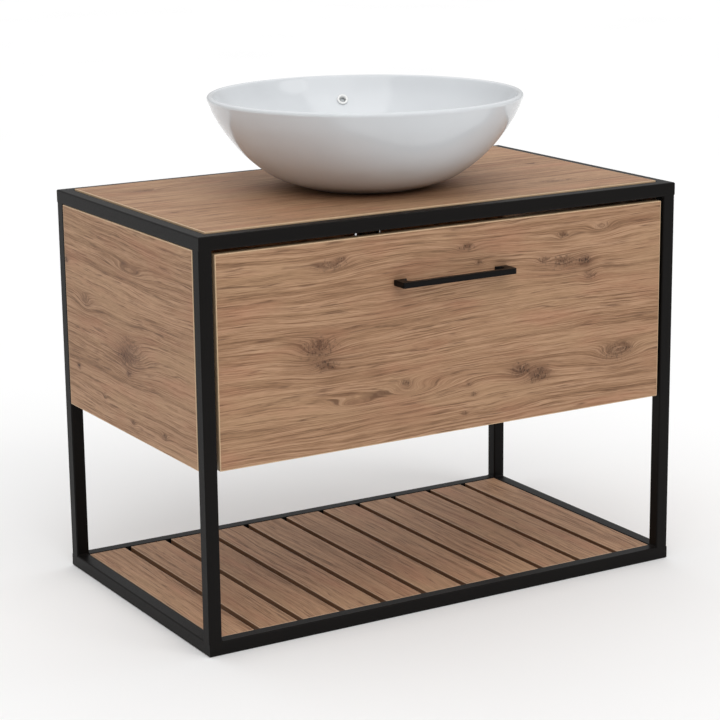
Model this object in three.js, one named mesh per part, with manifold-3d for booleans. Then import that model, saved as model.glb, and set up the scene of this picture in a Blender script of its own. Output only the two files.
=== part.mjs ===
// Wall-side bathroom vanity: a square-tube frame, a slatted shelf, a drawer cabinet and a
// round vessel basin with its waste and bottle trap. Millimetres, X to the right, Y to the wall, Z up.
import * as THREE from 'three';
import { mergeVertices } from 'three/addons/utils/BufferGeometryUtils.js';
import Module from 'manifold-3d';

const wasm = await Module();
wasm.setup();

// Overall size.
const WIDTH = 800;
const FRAME_DEPTH = 470;
const FRAME_HEIGHT = 593;
const HANDLE_REACH = 26;
const GAP = 0.3;

// The origin is under the middle of the whole object, so the handle counts in the depth.
const FRONT = HANDLE_REACH / 2 - FRAME_DEPTH / 2;
const BACK = FRONT + FRAME_DEPTH;

// Square steel tube of the frame.
const TUBE = 20;
const TUBE_WALL = 1.5;
const TUBE_RADIUS = 3;
const INNER_X = WIDTH / 2 - TUBE;
const INNER_FRONT = FRONT + TUBE;
const INNER_BACK = BACK - TUBE;

// Melamine-faced boards.
const BOARD = 16;
const PANEL_BOTTOM = 265;
const TOP_PROUD = 2;
const TOP_FACE = FRAME_HEIGHT + TOP_PROUD;
const TOP_UNDERSIDE = TOP_FACE - BOARD;

// Slatted shelf.
const SLAT_COUNT = 11;
const SLAT_WIDTH = 60;
const SLAT_GAP = 9.8;
const SLAT_TOP = 19.5;
const FLAT_BAR = 3;
const FLAT_BAR_WIDTH = 30;

// Drawer front and box.
const FRONT_HALF_WIDTH = 375.5;
const FRONT_TOP = 567;
const FRONT_RECESS = 1.5;
const FRONT_BACK_FACE = FRONT + FRONT_RECESS + BOARD;
const BOX_START = FRONT_BACK_FACE + GAP;
const BOX_LENGTH = 400;
const BOX_END = BOX_START + BOX_LENGTH;
const BOX_BOTTOM = 285;
const BOX_TOP = 455;
const RUNNER_THICKNESS = 12.7;
const SIDE_INNER_FACE = WIDTH / 2 - BOARD;
const PACKER_FACE = INNER_X - 0.5;
const BOX_HALF_WIDTH = PACKER_FACE - RUNNER_THICKNESS;
const BOX_INNER = BOX_HALF_WIDTH - BOARD;
const THIN_BOARD = 12;
const BASE_BOARD = 8;
const BASE_UNDERSIDE = BOX_BOTTOM + 4;
const BASE_TOP = BASE_UNDERSIDE + BASE_BOARD;

// Notch that lets the drawer pass the trap.
const NOTCH_HALF_WIDTH = 70;
const NOTCH_START = FRONT + 170;

// Telescopic runners.
const RUNNER_LENGTH = 350;
const RUNNER_START = INNER_FRONT + 2;
const RUNNER_END = RUNNER_START + RUNNER_LENGTH;
const RUNNER_Z = 330;
const RUNNER_SHEET = 1.2;

// Pull handle.
const HANDLE_HALF = 95.5;
const HANDLE_Z = 492;
const HANDLE_HEIGHT = 8.5;
const HANDLE_BAR_DEPTH = 8;
const SCREW_X = 86;
const SCREW_HOLE_R = 2.3;

// Basin: a body of revolution that stands on the worktop.
const BASIN_Y = FRONT + FRAME_DEPTH / 2;
const FOOT_R = 90;
const FOOT_INNER_R = 74;
const UNDERSIDE_Z = 4;
const RIM_R = 4.5;
const WALL_LOW = 15;
const DRAIN_R = 22.5;
const RECESS_R = 33;
const FLOOR_Z = 15;
const FLANGE_THICKNESS = 2.6;
const BASIN_SEGMENTS = 48;
const OVERFLOW_TURN = THREE.MathUtils.degToRad(21);
const OVERFLOW_U = 0.755;
const OVERFLOW_R = 6.6;
const OVERFLOW_LIP_R = 8.6;
const CHANNEL_R = 3;

// Waste and trap.
const FLANGE_R = 32.5;
const PLUG_R = 31;
const PLUG_HEIGHT = 5.6;
const TAIL_R = 20.4;
const TAIL_BORE = 17;
const TAIL_END = 504;
const PIPE_R = 16;
const PIPE_BORE = 14;
const PIPE_Z = 440;
const BOTTLE_R = 30;

const BLACK = { color: '#232325', roughness: 0.5, metalness: 0.3 };
const OAK = { color: '#a98768', roughness: 0.6, metalness: 0 };
const STEEL = { color: '#a6a8aa', roughness: 0.4, metalness: 0.8 };
const CHROME = { color: '#d6d8da', roughness: 0.1, metalness: 1 };
const CERAMIC = { color: '#ececea', roughness: 0.1, metalness: 0 };
const WHITE_PLASTIC = { color: '#f0f0ee', roughness: 0.25, metalness: 0 };
const RUBBER = { color: '#1c1c1c', roughness: 0.9, metalness: 0 };

const model = new THREE.Group();

function add(name, geometry, finish) {
  const mesh = new THREE.Mesh(geometry, new THREE.MeshStandardMaterial(finish));
  mesh.name = name;
  model.add(mesh);
  return mesh;
}

// Boolean work: a closed geometry becomes a solid and comes back as a geometry.
function toSolid(geometry) {
  const bare = geometry.clone();
  bare.deleteAttribute('normal');
  bare.deleteAttribute('uv');
  const merged = mergeVertices(bare, 1e-4);
  return new wasm.Manifold(new wasm.Mesh({
    numProp: 3,
    vertProperties: merged.attributes.position.array,
    triVerts: merged.index.array,
  }));
}

function fromSolid(solid) {
  const mesh = solid.getMesh();
  const geometry = new THREE.BufferGeometry();
  geometry.setAttribute('position', new THREE.BufferAttribute(mesh.vertProperties, 3));
  geometry.setIndex(new THREE.BufferAttribute(mesh.triVerts, 1));
  geometry.computeVertexNormals();
  return geometry;
}

function cut(geometry, ...tools) {
  let solid = toSolid(geometry);
  for (const tool of tools) {
    solid = solid.subtract(toSolid(tool));
  }
  return fromSolid(solid);
}

function join(geometry, ...others) {
  let solid = toSolid(geometry);
  for (const other of others) {
    solid = solid.add(toSolid(other));
  }
  return fromSolid(solid);
}

// A box between two corners.
function block(x0, x1, y0, y1, z0, z1) {
  const geometry = new THREE.BoxGeometry(x1 - x0, y1 - y0, z1 - z0);
  geometry.translate((x0 + x1) / 2, (y0 + y1) / 2, (z0 + z1) / 2);
  return geometry;
}

// A ring or turned piece about +Z; outline points are [radius, height], in either direction.
function turned(outline, segments = 32) {
  const points = outline.map(([r, z]) => new THREE.Vector2(r, z));
  if (THREE.ShapeUtils.area(points) < 0) {
    points.reverse();
  }
  const onAxis = points[0].x === 0 && points[points.length - 1].x === 0;
  if (!onAxis) {
    points.push(points[0].clone());
  }
  const geometry = new THREE.LatheGeometry(points, segments);
  geometry.rotateX(Math.PI / 2);
  return geometry;
}

// A plate cut from an outline, standing on z0.
function plate(shape, z0, height, curveSegments = 6) {
  const geometry = new THREE.ExtrudeGeometry(shape, { depth: height, bevelEnabled: false, curveSegments });
  geometry.translate(0, 0, z0);
  return geometry;
}

// A profile drawn in X and Z, run along Y from y0 to y1.
function alongY(shape, y0, y1) {
  const geometry = new THREE.ExtrudeGeometry(shape, { depth: y1 - y0, bevelEnabled: false });
  geometry.rotateX(Math.PI / 2);
  geometry.translate(0, y1, 0);
  return geometry;
}

function polygon(points) {
  return new THREE.Shape(points.map(([x, y]) => new THREE.Vector2(x, y)));
}

// Frame: hollow square tube with rounded corners.
function roundedSquare(path, half, radius) {
  const flat = half - radius;
  path.moveTo(flat, -half);
  path.absarc(flat, -flat, radius, -Math.PI / 2, 0, false);
  path.absarc(flat, flat, radius, 0, Math.PI / 2, false);
  path.absarc(-flat, flat, radius, Math.PI / 2, Math.PI, false);
  path.absarc(-flat, -flat, radius, Math.PI, Math.PI * 1.5, false);
  path.closePath();
  return path;
}

function tube(length) {
  const section = roundedSquare(new THREE.Shape(), TUBE / 2, TUBE_RADIUS);
  section.holes.push(roundedSquare(new THREE.Path(), TUBE / 2 - TUBE_WALL, TUBE_RADIUS - TUBE_WALL));
  return new THREE.ExtrudeGeometry(section, { depth: length, bevelEnabled: false, curveSegments: 3 });
}

// A ring rail: both ends are mitred at 45 degrees; local +X faces into the ring.
function mitredTube(length) {
  const geometry = tube(length);
  const position = geometry.attributes.position;
  for (let i = 0; i < position.count; i += 1) {
    const setback = position.getX(i) + TUBE / 2 + GAP;
    const atStart = position.getZ(i) < length / 2;
    position.setZ(i, atStart ? setback : length - setback);
  }
  return geometry;
}

const UP = new THREE.Vector3(0, 0, 1);

function ring(level, height) {
  const corners = {
    front: { start: [-WIDTH / 2, FRONT], along: [1, 0], length: WIDTH },
    right: { start: [WIDTH / 2, FRONT], along: [0, 1], length: FRAME_DEPTH },
    back: { start: [WIDTH / 2, BACK], along: [-1, 0], length: WIDTH },
    left: { start: [-WIDTH / 2, BACK], along: [0, -1], length: FRAME_DEPTH },
  };
  for (const [side, { start, along, length }] of Object.entries(corners)) {
    const run = new THREE.Vector3(along[0], along[1], 0);
    const inward = new THREE.Vector3().crossVectors(UP, run);
    const geometry = mitredTube(length);
    const turn = new THREE.Matrix4().makeBasis(inward, new THREE.Vector3().crossVectors(run, inward), run);
    geometry.applyMatrix4(turn);
    geometry.translate(
      start[0] + inward.x * (TUBE / 2),
      start[1] + inward.y * (TUBE / 2),
      height + TUBE / 2,
    );
    add(`${level}_rail_${side}`, geometry, BLACK);
  }
}

ring('bottom', 0);
ring('top', FRAME_HEIGHT - TUBE);

const POST_X = WIDTH / 2 - TUBE / 2;
for (const [name, x, y] of [
  ['post_front_left', -POST_X, FRONT + TUBE / 2],
  ['post_front_right', POST_X, FRONT + TUBE / 2],
  ['post_back_left', -POST_X, BACK - TUBE / 2],
  ['post_back_right', POST_X, BACK - TUBE / 2],
]) {
  const geometry = tube(FRAME_HEIGHT - 2 * (TUBE + GAP));
  geometry.translate(x, y, TUBE + GAP);
  add(name, geometry, BLACK);
}

// Flat bars that carry the shelf slats and the worktop.
const SHELF_BAR_INSET = 60;
const SHELF_BAR_Z = SLAT_TOP - BOARD - GAP - FLAT_BAR;
for (const [name, y] of [
  ['shelf_support_front', INNER_FRONT + SHELF_BAR_INSET],
  ['shelf_support_back', INNER_BACK - SHELF_BAR_INSET - FLAT_BAR_WIDTH],
]) {
  const reach = INNER_X - GAP;
  add(name, block(-reach, reach, y, y + FLAT_BAR_WIDTH, SHELF_BAR_Z, SHELF_BAR_Z + FLAT_BAR), BLACK);
}
const TOP_BAR_X = 180;
for (const [name, x] of [['top_support_left', -TOP_BAR_X], ['top_support_right', TOP_BAR_X]]) {
  const top = TOP_UNDERSIDE - GAP;
  const half = FLAT_BAR_WIDTH / 2;
  const bar = block(x - half, x + half, INNER_FRONT + GAP, INNER_BACK - GAP, top - FLAT_BAR, top);
  add(name, bar, BLACK);
}

// Shelf slats run from front to back with open gaps between them.
const SLAT_PITCH = SLAT_WIDTH + SLAT_GAP;
for (let i = 0; i < SLAT_COUNT; i += 1) {
  const x = (i - (SLAT_COUNT - 1) / 2) * SLAT_PITCH;
  const slat = block(
    x - SLAT_WIDTH / 2, x + SLAT_WIDTH / 2,
    INNER_FRONT + GAP, INNER_BACK - GAP,
    SLAT_TOP - BOARD, SLAT_TOP,
  );
  add(`shelf_slat_${String(i + 1).padStart(2, '0')}`, slat, OAK);
}

// Cabinet: two side panels flush with the frame, the worktop inside the top ring, a rear rail.
// A packer glued to each panel brings the runner in past the post, so that the drawer can pass it.
const PANEL_TOP = FRAME_HEIGHT - TUBE - GAP;
const PACKER_HALF_HEIGHT = 24;
for (const [name, side] of [['side_panel_left', -1], ['side_panel_right', 1]]) {
  const between = (xa, xb, y0, y1, z0, z1) => (
    block(Math.min(side * xa, side * xb), Math.max(side * xa, side * xb), y0, y1, z0, z1)
  );
  const packerLow = RUNNER_Z - PACKER_HALF_HEIGHT;
  const packerHigh = RUNNER_Z + PACKER_HALF_HEIGHT;
  const panel = between(SIDE_INNER_FACE, WIDTH / 2, INNER_FRONT + GAP, INNER_BACK - GAP, PANEL_BOTTOM, PANEL_TOP);
  const packer = between(PACKER_FACE, SIDE_INNER_FACE + 1, RUNNER_START, RUNNER_END, packerLow, packerHigh);
  add(name, join(panel, packer), OAK);
}

const WORKTOP_HOLE_R = 25;
const worktop = block(
  -INNER_X + GAP, INNER_X - GAP,
  INNER_FRONT + GAP, INNER_BACK - GAP,
  TOP_UNDERSIDE, TOP_FACE,
);
const wasteHole = new THREE.CylinderGeometry(WORKTOP_HOLE_R, WORKTOP_HOLE_R, 2 * BOARD, 32);
wasteHole.rotateX(Math.PI / 2);
wasteHole.translate(0, BASIN_Y, TOP_FACE - BOARD / 2);
add('worktop', cut(worktop, wasteHole), OAK);

const RAIL_BOTTOM = 473;
const HANGER_NOTCH_WIDTH = 50;
const HANGER_NOTCH_HEIGHT = 62;
const railReach = SIDE_INNER_FACE - GAP;
const railShape = polygon([
  [-railReach, RAIL_BOTTOM],
  [railReach, RAIL_BOTTOM],
  [railReach, PANEL_TOP - HANGER_NOTCH_HEIGHT],
  [railReach - HANGER_NOTCH_WIDTH, PANEL_TOP - HANGER_NOTCH_HEIGHT],
  [railReach - HANGER_NOTCH_WIDTH, PANEL_TOP],
  [HANGER_NOTCH_WIDTH - railReach, PANEL_TOP],
  [HANGER_NOTCH_WIDTH - railReach, PANEL_TOP - HANGER_NOTCH_HEIGHT],
  [-railReach, PANEL_TOP - HANGER_NOTCH_HEIGHT],
]);
const railFront = INNER_BACK - GAP - BOARD;
add('rear_rail', alongY(railShape, railFront, railFront + BOARD), OAK);

// Cabinet hangers: a box on the side panel with a hook that reaches back to the wall plate.
const HANGER_WIDTH = 24;
const HANGER_LENGTH = 40;
const HANGER_TOP = PANEL_TOP - 6;
const HANGER_BOTTOM = PANEL_TOP - 54;
const HOOK_SHEET = 3;
const HOOK_INSET = 11;
for (const [name, side] of [['wall_hanger_left', -1], ['wall_hanger_right', 1]]) {
  const piece = (inset, width, y0, y1, z0, z1) => {
    const near = (railReach - inset) * side;
    const far = (railReach - inset - width) * side;
    return block(Math.min(near, far), Math.max(near, far), y0, y1, z0, z1);
  };
  const caseBack = INNER_BACK - 2;
  const hookEnd = BACK - 2;
  const body = piece(0, HANGER_WIDTH, railFront - HANGER_LENGTH, caseBack, HANGER_BOTTOM, HANGER_TOP);
  const arm = piece(HOOK_INSET, HOOK_SHEET, caseBack - 2, hookEnd, HANGER_TOP - 34, HANGER_TOP - 14);
  const tip = piece(HOOK_INSET, HOOK_SHEET, hookEnd - 5, hookEnd, HANGER_TOP - 42, HANGER_TOP - 24);
  add(name, join(body, arm, tip), STEEL);
}

// Drawer front with two holes for the handle screws.
function screwHole(x, y0, y1) {
  const hole = new THREE.CylinderGeometry(SCREW_HOLE_R, SCREW_HOLE_R, y1 - y0, 16);
  hole.translate(x, (y0 + y1) / 2, HANDLE_Z + HANDLE_HEIGHT / 2);
  return hole;
}
const frontPanel = block(
  -FRONT_HALF_WIDTH, FRONT_HALF_WIDTH, FRONT + FRONT_RECESS, FRONT_BACK_FACE, PANEL_BOTTOM, FRONT_TOP,
);
const frontHoles = [-SCREW_X, SCREW_X].map((x) => screwHole(x, FRONT - 5, FRONT_BACK_FACE + 5));
add('drawer_front', cut(frontPanel, ...frontHoles), OAK);

// Drawer box: two sides, two backs beside the trap notch, the notch wall and the notched base.
for (const [name, x] of [['drawer_side_left', -BOX_HALF_WIDTH], ['drawer_side_right', BOX_INNER]]) {
  add(name, block(x, x + BOARD, BOX_START, BOX_END, BOX_BOTTOM, BOX_TOP), OAK);
}
const NOTCH_WALL = NOTCH_HALF_WIDTH + THIN_BOARD;
const innerReach = BOX_INNER - GAP;
for (const [name, x0, x1] of [
  ['drawer_back_left', -innerReach, -NOTCH_WALL - GAP],
  ['drawer_back_right', NOTCH_WALL + GAP, innerReach],
]) {
  add(name, block(x0, x1, BOX_END - THIN_BOARD, BOX_END, BASE_TOP + GAP, BOX_TOP), OAK);
}
const notchWall = polygon([
  [-NOTCH_WALL, BOX_END],
  [-NOTCH_WALL, NOTCH_START - THIN_BOARD],
  [NOTCH_WALL, NOTCH_START - THIN_BOARD],
  [NOTCH_WALL, BOX_END],
  [NOTCH_HALF_WIDTH, BOX_END],
  [NOTCH_HALF_WIDTH, NOTCH_START],
  [-NOTCH_HALF_WIDTH, NOTCH_START],
  [-NOTCH_HALF_WIDTH, BOX_END],
]);
add('trap_surround', plate(notchWall, BASE_TOP + GAP, BOX_TOP - BASE_TOP - GAP), OAK);
const baseShape = polygon([
  [-innerReach, BOX_START],
  [innerReach, BOX_START],
  [innerReach, BOX_END],
  [NOTCH_HALF_WIDTH, BOX_END],
  [NOTCH_HALF_WIDTH, NOTCH_START],
  [-NOTCH_HALF_WIDTH, NOTCH_START],
  [-NOTCH_HALF_WIDTH, BOX_END],
  [-innerReach, BOX_END],
]);
add('drawer_base', plate(baseShape, BASE_UNDERSIDE, BASE_BOARD), OAK);

// Runners: three nested steel channels on each side.
function channel(side, web, lip, halfHeight, y0, y1) {
  const edge = web + RUNNER_SHEET * Math.sign(lip - web);
  const low = RUNNER_Z - halfHeight;
  const high = RUNNER_Z + halfHeight;
  const outline = polygon([
    [side * web, low],
    [side * lip, low],
    [side * lip, low + RUNNER_SHEET],
    [side * edge, low + RUNNER_SHEET],
    [side * edge, high - RUNNER_SHEET],
    [side * lip, high - RUNNER_SHEET],
    [side * lip, high],
    [side * web, high],
  ]);
  return alongY(outline, y0, y1);
}
const CABINET_HALF_HEIGHT = 22.5;
const MIDDLE_HALF_HEIGHT = 19;
const DRAWER_HALF_HEIGHT = 12.5;
const runnerOuter = PACKER_FACE - GAP;
const runnerInner = BOX_HALF_WIDTH + GAP;
for (const [label, side] of [['left', -1], ['right', 1]]) {
  const members = {
    cabinet: [runnerOuter, runnerInner + 1.7, CABINET_HALF_HEIGHT],
    middle: [runnerOuter - 2, runnerInner + 2.2, MIDDLE_HALF_HEIGHT],
    drawer: [runnerInner, runnerOuter - 5, DRAWER_HALF_HEIGHT],
  };
  for (const [member, [web, lip, halfHeight]] of Object.entries(members)) {
    add(`runner_${member}_${label}`, channel(side, web, lip, halfHeight, RUNNER_START, RUNNER_END), STEEL);
  }
}

// Pull handle: a flat bar whose feet widen towards the drawer front, hollowed behind the bar.
const footFace = FRONT + FRONT_RECESS - GAP;
const barFront = FRONT - HANDLE_REACH;
const barBack = barFront + HANDLE_BAR_DEPTH;
const FOOT_INNER = 75;
const FOOT_EDGE = 2;
const CORNER = 3;
function handleOutline() {
  const hollowX = FOOT_INNER + 14;
  const hollowY = footFace - 8;
  const shape = new THREE.Shape();
  shape.moveTo(-HANDLE_HALF, footFace);
  shape.lineTo(-HANDLE_HALF, barFront + CORNER);
  shape.quadraticCurveTo(-HANDLE_HALF, barFront, CORNER - HANDLE_HALF, barFront);
  shape.lineTo(HANDLE_HALF - CORNER, barFront);
  shape.quadraticCurveTo(HANDLE_HALF, barFront, HANDLE_HALF, barFront + CORNER);
  shape.lineTo(HANDLE_HALF, footFace);
  shape.lineTo(FOOT_INNER, footFace);
  shape.lineTo(FOOT_INNER, footFace - FOOT_EDGE);
  shape.quadraticCurveTo(hollowX, hollowY, FOOT_INNER + CORNER, barBack);
  shape.lineTo(-FOOT_INNER - CORNER, barBack);
  shape.quadraticCurveTo(-hollowX, hollowY, -FOOT_INNER, footFace - FOOT_EDGE);
  shape.lineTo(-FOOT_INNER, footFace);
  shape.closePath();
  return shape;
}
const SCREW_TIP = FRONT - 6;
const blindHoles = [-SCREW_X, SCREW_X].map((x) => screwHole(x, SCREW_TIP - 1, FRONT + 5));
add('handle', cut(plate(handleOutline(), HANDLE_Z, HANDLE_HEIGHT, 5), ...blindHoles), BLACK);

// Each handle screw goes in from inside the drawer, head against the back of the front.
const SCREW_R = SCREW_HOLE_R - 0.4;
const SCREW_HEAD_R = 4;
const SCREW_HEAD = 2.2;
const headBack = FRONT_BACK_FACE + GAP + SCREW_HEAD;
const screwLength = headBack - SCREW_TIP;
for (const [name, x] of [['handle_screw_left', -SCREW_X], ['handle_screw_right', SCREW_X]]) {
  const screw = turned([
    [0, 0],
    [SCREW_HEAD_R - 0.8, 0],
    [SCREW_HEAD_R, SCREW_HEAD],
    [SCREW_R, SCREW_HEAD],
    [SCREW_R, screwLength - 1],
    [SCREW_R - 1, screwLength],
    [0, screwLength],
  ], 16);
  screw.rotateX(Math.PI / 2);
  screw.translate(x, headBack, HANDLE_Z + HANDLE_HEIGHT / 2);
  add(name, screw, STEEL);
}

// Basin: the outside is a smooth curve from the foot to the rim; the inside follows it at the
// wall thickness, which thins towards the fully rounded rim. Heights are above the worktop.
const outside = new THREE.SplineCurve([
  new THREE.Vector2(FOOT_R, GAP),
  new THREE.Vector2(136, 16.5),
  new THREE.Vector2(171, 41),
  new THREE.Vector2(198, 69),
  new THREE.Vector2(221.8, 103.5),
  new THREE.Vector2(234.6, 131.8),
]);

// A point across the wall: share 0 is the outer face and share 1 is the inner face.
function wallPoint(u, share) {
  const point = outside.getPoint(u);
  const tangent = outside.getTangent(u);
  const thickness = THREE.MathUtils.lerp(WALL_LOW, 2 * RIM_R, u) * share;
  return [point.x - tangent.y * thickness, point.y + tangent.x * thickness];
}

function rimPoint(turn) {
  const [r, z] = wallPoint(1, 0.5);
  const tangent = outside.getTangent(1);
  const across = -Math.cos(turn) * RIM_R;
  const up = Math.sin(turn) * RIM_R;
  return [r - tangent.y * across + tangent.x * up, z + tangent.x * across + tangent.y * up];
}

const WALL_STEPS = 12;
const RIM_STEPS = 6;
function basinOutline() {
  const points = [];
  for (let i = 0; i <= WALL_STEPS; i += 1) {
    points.push(wallPoint(i / WALL_STEPS, 0));
  }
  for (let i = 1; i < RIM_STEPS; i += 1) {
    points.push(rimPoint((Math.PI * i) / RIM_STEPS));
  }
  for (let i = WALL_STEPS; i >= 0; i -= 1) {
    points.push(wallPoint(i / WALL_STEPS, 1));
  }
  const recessFloor = FLOOR_Z - FLANGE_THICKNESS;
  points.push(
    [RECESS_R, FLOOR_Z],
    [RECESS_R, recessFloor],
    [DRAIN_R, recessFloor],
    [DRAIN_R, UNDERSIDE_Z],
    [FOOT_INNER_R, UNDERSIDE_Z],
    [FOOT_INNER_R + 4, GAP],
  );
  return points;
}

// Overflow: a short bore through the inner wall into a channel that runs inside the wall to the drain.
const radial = new THREE.Vector3(Math.sin(OVERFLOW_TURN), Math.cos(OVERFLOW_TURN), 0);
function inWall(r, z) {
  return radial.clone().multiplyScalar(r).setZ(z);
}

const overflowTangent = outside.getTangent(OVERFLOW_U);
const overflowAxis = inWall(-overflowTangent.y, overflowTangent.x);
const overflowMouth = inWall(...wallPoint(OVERFLOW_U, 1));

const channelPoints = [];
for (const u of [OVERFLOW_U + 0.03, 0.66, 0.5, 0.33, 0.16, 0.02]) {
  channelPoints.push(inWall(...wallPoint(u, 0.5)));
}
channelPoints.push(inWall(FOOT_INNER_R - 14, (UNDERSIDE_Z + FLOOR_Z) / 2));
channelPoints.push(inWall(DRAIN_R - 4, UNDERSIDE_Z + 1.4 * CHANNEL_R));
const channelSection = new THREE.Shape();
channelSection.absarc(0, 0, CHANNEL_R, 0, Math.PI * 2, false);
const overflowChannel = new THREE.ExtrudeGeometry(channelSection, {
  steps: 22,
  curveSegments: 4,
  bevelEnabled: false,
  extrudePath: new THREE.CatmullRomCurve3(channelPoints),
});

const BORE_DEPTH = 9;
const BORE_CLEAR = 3;
const overflowBore = new THREE.CylinderGeometry(OVERFLOW_R, OVERFLOW_R, BORE_DEPTH + 2 * BORE_CLEAR, 20);
const yToAxis = new THREE.Quaternion().setFromUnitVectors(new THREE.Vector3(0, 1, 0), overflowAxis);
overflowBore.applyQuaternion(yToAxis);
const boreCentre = overflowMouth.clone().addScaledVector(overflowAxis, BORE_CLEAR - BORE_DEPTH / 2);
overflowBore.translate(boreCentre.x, boreCentre.y, boreCentre.z);

const basin = cut(turned(basinOutline(), BASIN_SEGMENTS), overflowChannel, overflowBore);
basin.translate(0, BASIN_Y, TOP_FACE);
add('basin', basin, CERAMIC);

// The ring's sleeve sits in the bore and its lip stands clear of the curved wall.
const SLEEVE_R = OVERFLOW_R - GAP;
const SLEEVE_BORE = SLEEVE_R - 1.1;
const overflowRing = turned([
  [SLEEVE_BORE, -5],
  [SLEEVE_R, -5],
  [SLEEVE_R, 1.5],
  [OVERFLOW_LIP_R, 1.5],
  [OVERFLOW_LIP_R - 0.4, 2.4],
  [OVERFLOW_LIP_R - 2.2, 3],
  [SLEEVE_BORE, 2.2],
], 24);
overflowRing.applyQuaternion(new THREE.Quaternion().setFromUnitVectors(UP, overflowAxis));
overflowRing.translate(overflowMouth.x, overflowMouth.y + BASIN_Y, overflowMouth.z + TOP_FACE);
add('overflow_ring', overflowRing, WHITE_PLASTIC);

// Waste: flanged body with a push plug, clamped under the worktop. Everything from here down to
// the trap is turned about the drain's axis, so each piece is made about Z and moved to the basin.
function addOnDrain(name, geometry, finish) {
  geometry.translate(0, BASIN_Y, 0);
  return add(name, geometry, finish);
}

const flangeTop = TOP_FACE + FLOOR_Z;
const flangeBottom = flangeTop - FLANGE_THICKNESS + GAP;
const wasteShell = turned([
  [TAIL_BORE, TAIL_END],
  [TAIL_R, TAIL_END],
  [TAIL_R, flangeBottom],
  [FLANGE_R - 1, flangeBottom],
  [FLANGE_R, flangeTop],
  [TAIL_BORE + 9, flangeTop],
  [TAIL_BORE + 3, flangeTop - 2.4],
  [TAIL_BORE, flangeTop - 5],
]);

// A guide tube on three webs holds the plug's stem in the middle of the body.
const STEM_R = 4;
const GUIDE_BORE = STEM_R + 0.6;
const GUIDE_R = 7.5;
const GUIDE_LOW = TOP_FACE - 24;
const GUIDE_HIGH = TOP_FACE - 10;
const guide = turned([
  [GUIDE_BORE, GUIDE_LOW],
  [GUIDE_R, GUIDE_LOW],
  [GUIDE_R, GUIDE_HIGH],
  [GUIDE_BORE, GUIDE_HIGH],
], 20);
const WEB_COUNT = 3;
const WEB_HALF = 1.2;
const webs = [];
for (let i = 0; i < WEB_COUNT; i += 1) {
  const web = block(GUIDE_R - 1.3, TAIL_BORE + 1.5, -WEB_HALF, WEB_HALF, GUIDE_LOW + 1, GUIDE_HIGH - 1);
  web.rotateZ((i * 2 * Math.PI) / WEB_COUNT);
  webs.push(web);
}

// Two windows let the overflow channel empty into the waste, one of them in line with the channel.
const WINDOW_HALF = 7;
const WINDOW_LOW = TOP_FACE + UNDERSIDE_Z + 1;
const windows = [0, Math.PI].map((turn) => {
  const opening = block(
    TAIL_BORE - 3, TAIL_R + 3,
    -WINDOW_HALF, WINDOW_HALF,
    WINDOW_LOW, WINDOW_LOW + 5,
  );
  opening.rotateZ(Math.PI / 2 - OVERFLOW_TURN + turn);
  return opening;
});
addOnDrain('waste_body', cut(join(wasteShell, guide, ...webs), ...windows), CHROME);

const plugSeat = flangeTop + 0.5;
const plugSkirt = plugSeat - 2;
const plug = turned([
  [0, TOP_FACE - 22],
  [STEM_R, TOP_FACE - 22],
  [STEM_R, plugSkirt],
  [TAIL_BORE - 2, plugSkirt],
  [TAIL_BORE + 1, plugSeat],
  [PLUG_R - 0.5, plugSeat],
  [PLUG_R, plugSeat + 1.2],
  [PLUG_R - 5, plugSeat + 3.4],
  [PLUG_R / 2, plugSeat + 5],
  [0, plugSeat + PLUG_HEIGHT],
]);
addOnDrain('waste_plug', plug, CHROME);

const TAIL_CLEAR_R = TAIL_R + 0.4;
const GASKET_R = 38;
const GASKET_THICKNESS = 3;
const gasketTop = TOP_UNDERSIDE - GAP;
const gasket = turned([
  [TAIL_CLEAR_R, gasketTop - GASKET_THICKNESS],
  [GASKET_R, gasketTop - GASKET_THICKNESS],
  [GASKET_R, gasketTop],
  [TAIL_CLEAR_R, gasketTop],
]);
addOnDrain('waste_gasket', gasket, RUBBER);

const NUT_SIDES = 8;
const NUT_R = 34;
const NUT_HEIGHT = 10;
const nutCorners = [];
for (let i = 0; i < NUT_SIDES; i += 1) {
  const angle = ((i + 0.5) * 2 * Math.PI) / NUT_SIDES;
  nutCorners.push([NUT_R * Math.cos(angle), NUT_R * Math.sin(angle)]);
}
const nutShape = polygon(nutCorners);
const nutBore = new THREE.Path();
nutBore.absarc(0, 0, TAIL_CLEAR_R, 0, Math.PI * 2, true);
nutShape.holes.push(nutBore);
const nutTop = gasketTop - GASKET_THICKNESS - GAP;
addOnDrain('waste_nut', plate(nutShape, nutTop - NUT_HEIGHT, NUT_HEIGHT, 14), CHROME);

// Bottle trap: union nut, bell with dip tube and side outlet, screw-off cup, pipe and wall flange.
const COLLAR_R = TAIL_CLEAR_R - 1;
const COLLAR_UNDERSIDE = TAIL_END - 6.2;
const NUT_SHOULDER = COLLAR_UNDERSIDE - GAP;
const UNION_R = 26;
const UNION_LOW = TAIL_END - 14;
const UNION_HIGH = TAIL_END + 12;
addOnDrain('trap_union_nut', turned([
  [PIPE_R + 1, UNION_LOW],
  [UNION_R - 1.5, UNION_LOW],
  [UNION_R, UNION_LOW + 2],
  [UNION_R, UNION_HIGH - 2],
  [UNION_R - 1.5, UNION_HIGH],
  [TAIL_CLEAR_R, UNION_HIGH],
  [TAIL_CLEAR_R, NUT_SHOULDER],
  [PIPE_R + 1, NUT_SHOULDER],
]), CHROME);

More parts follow.
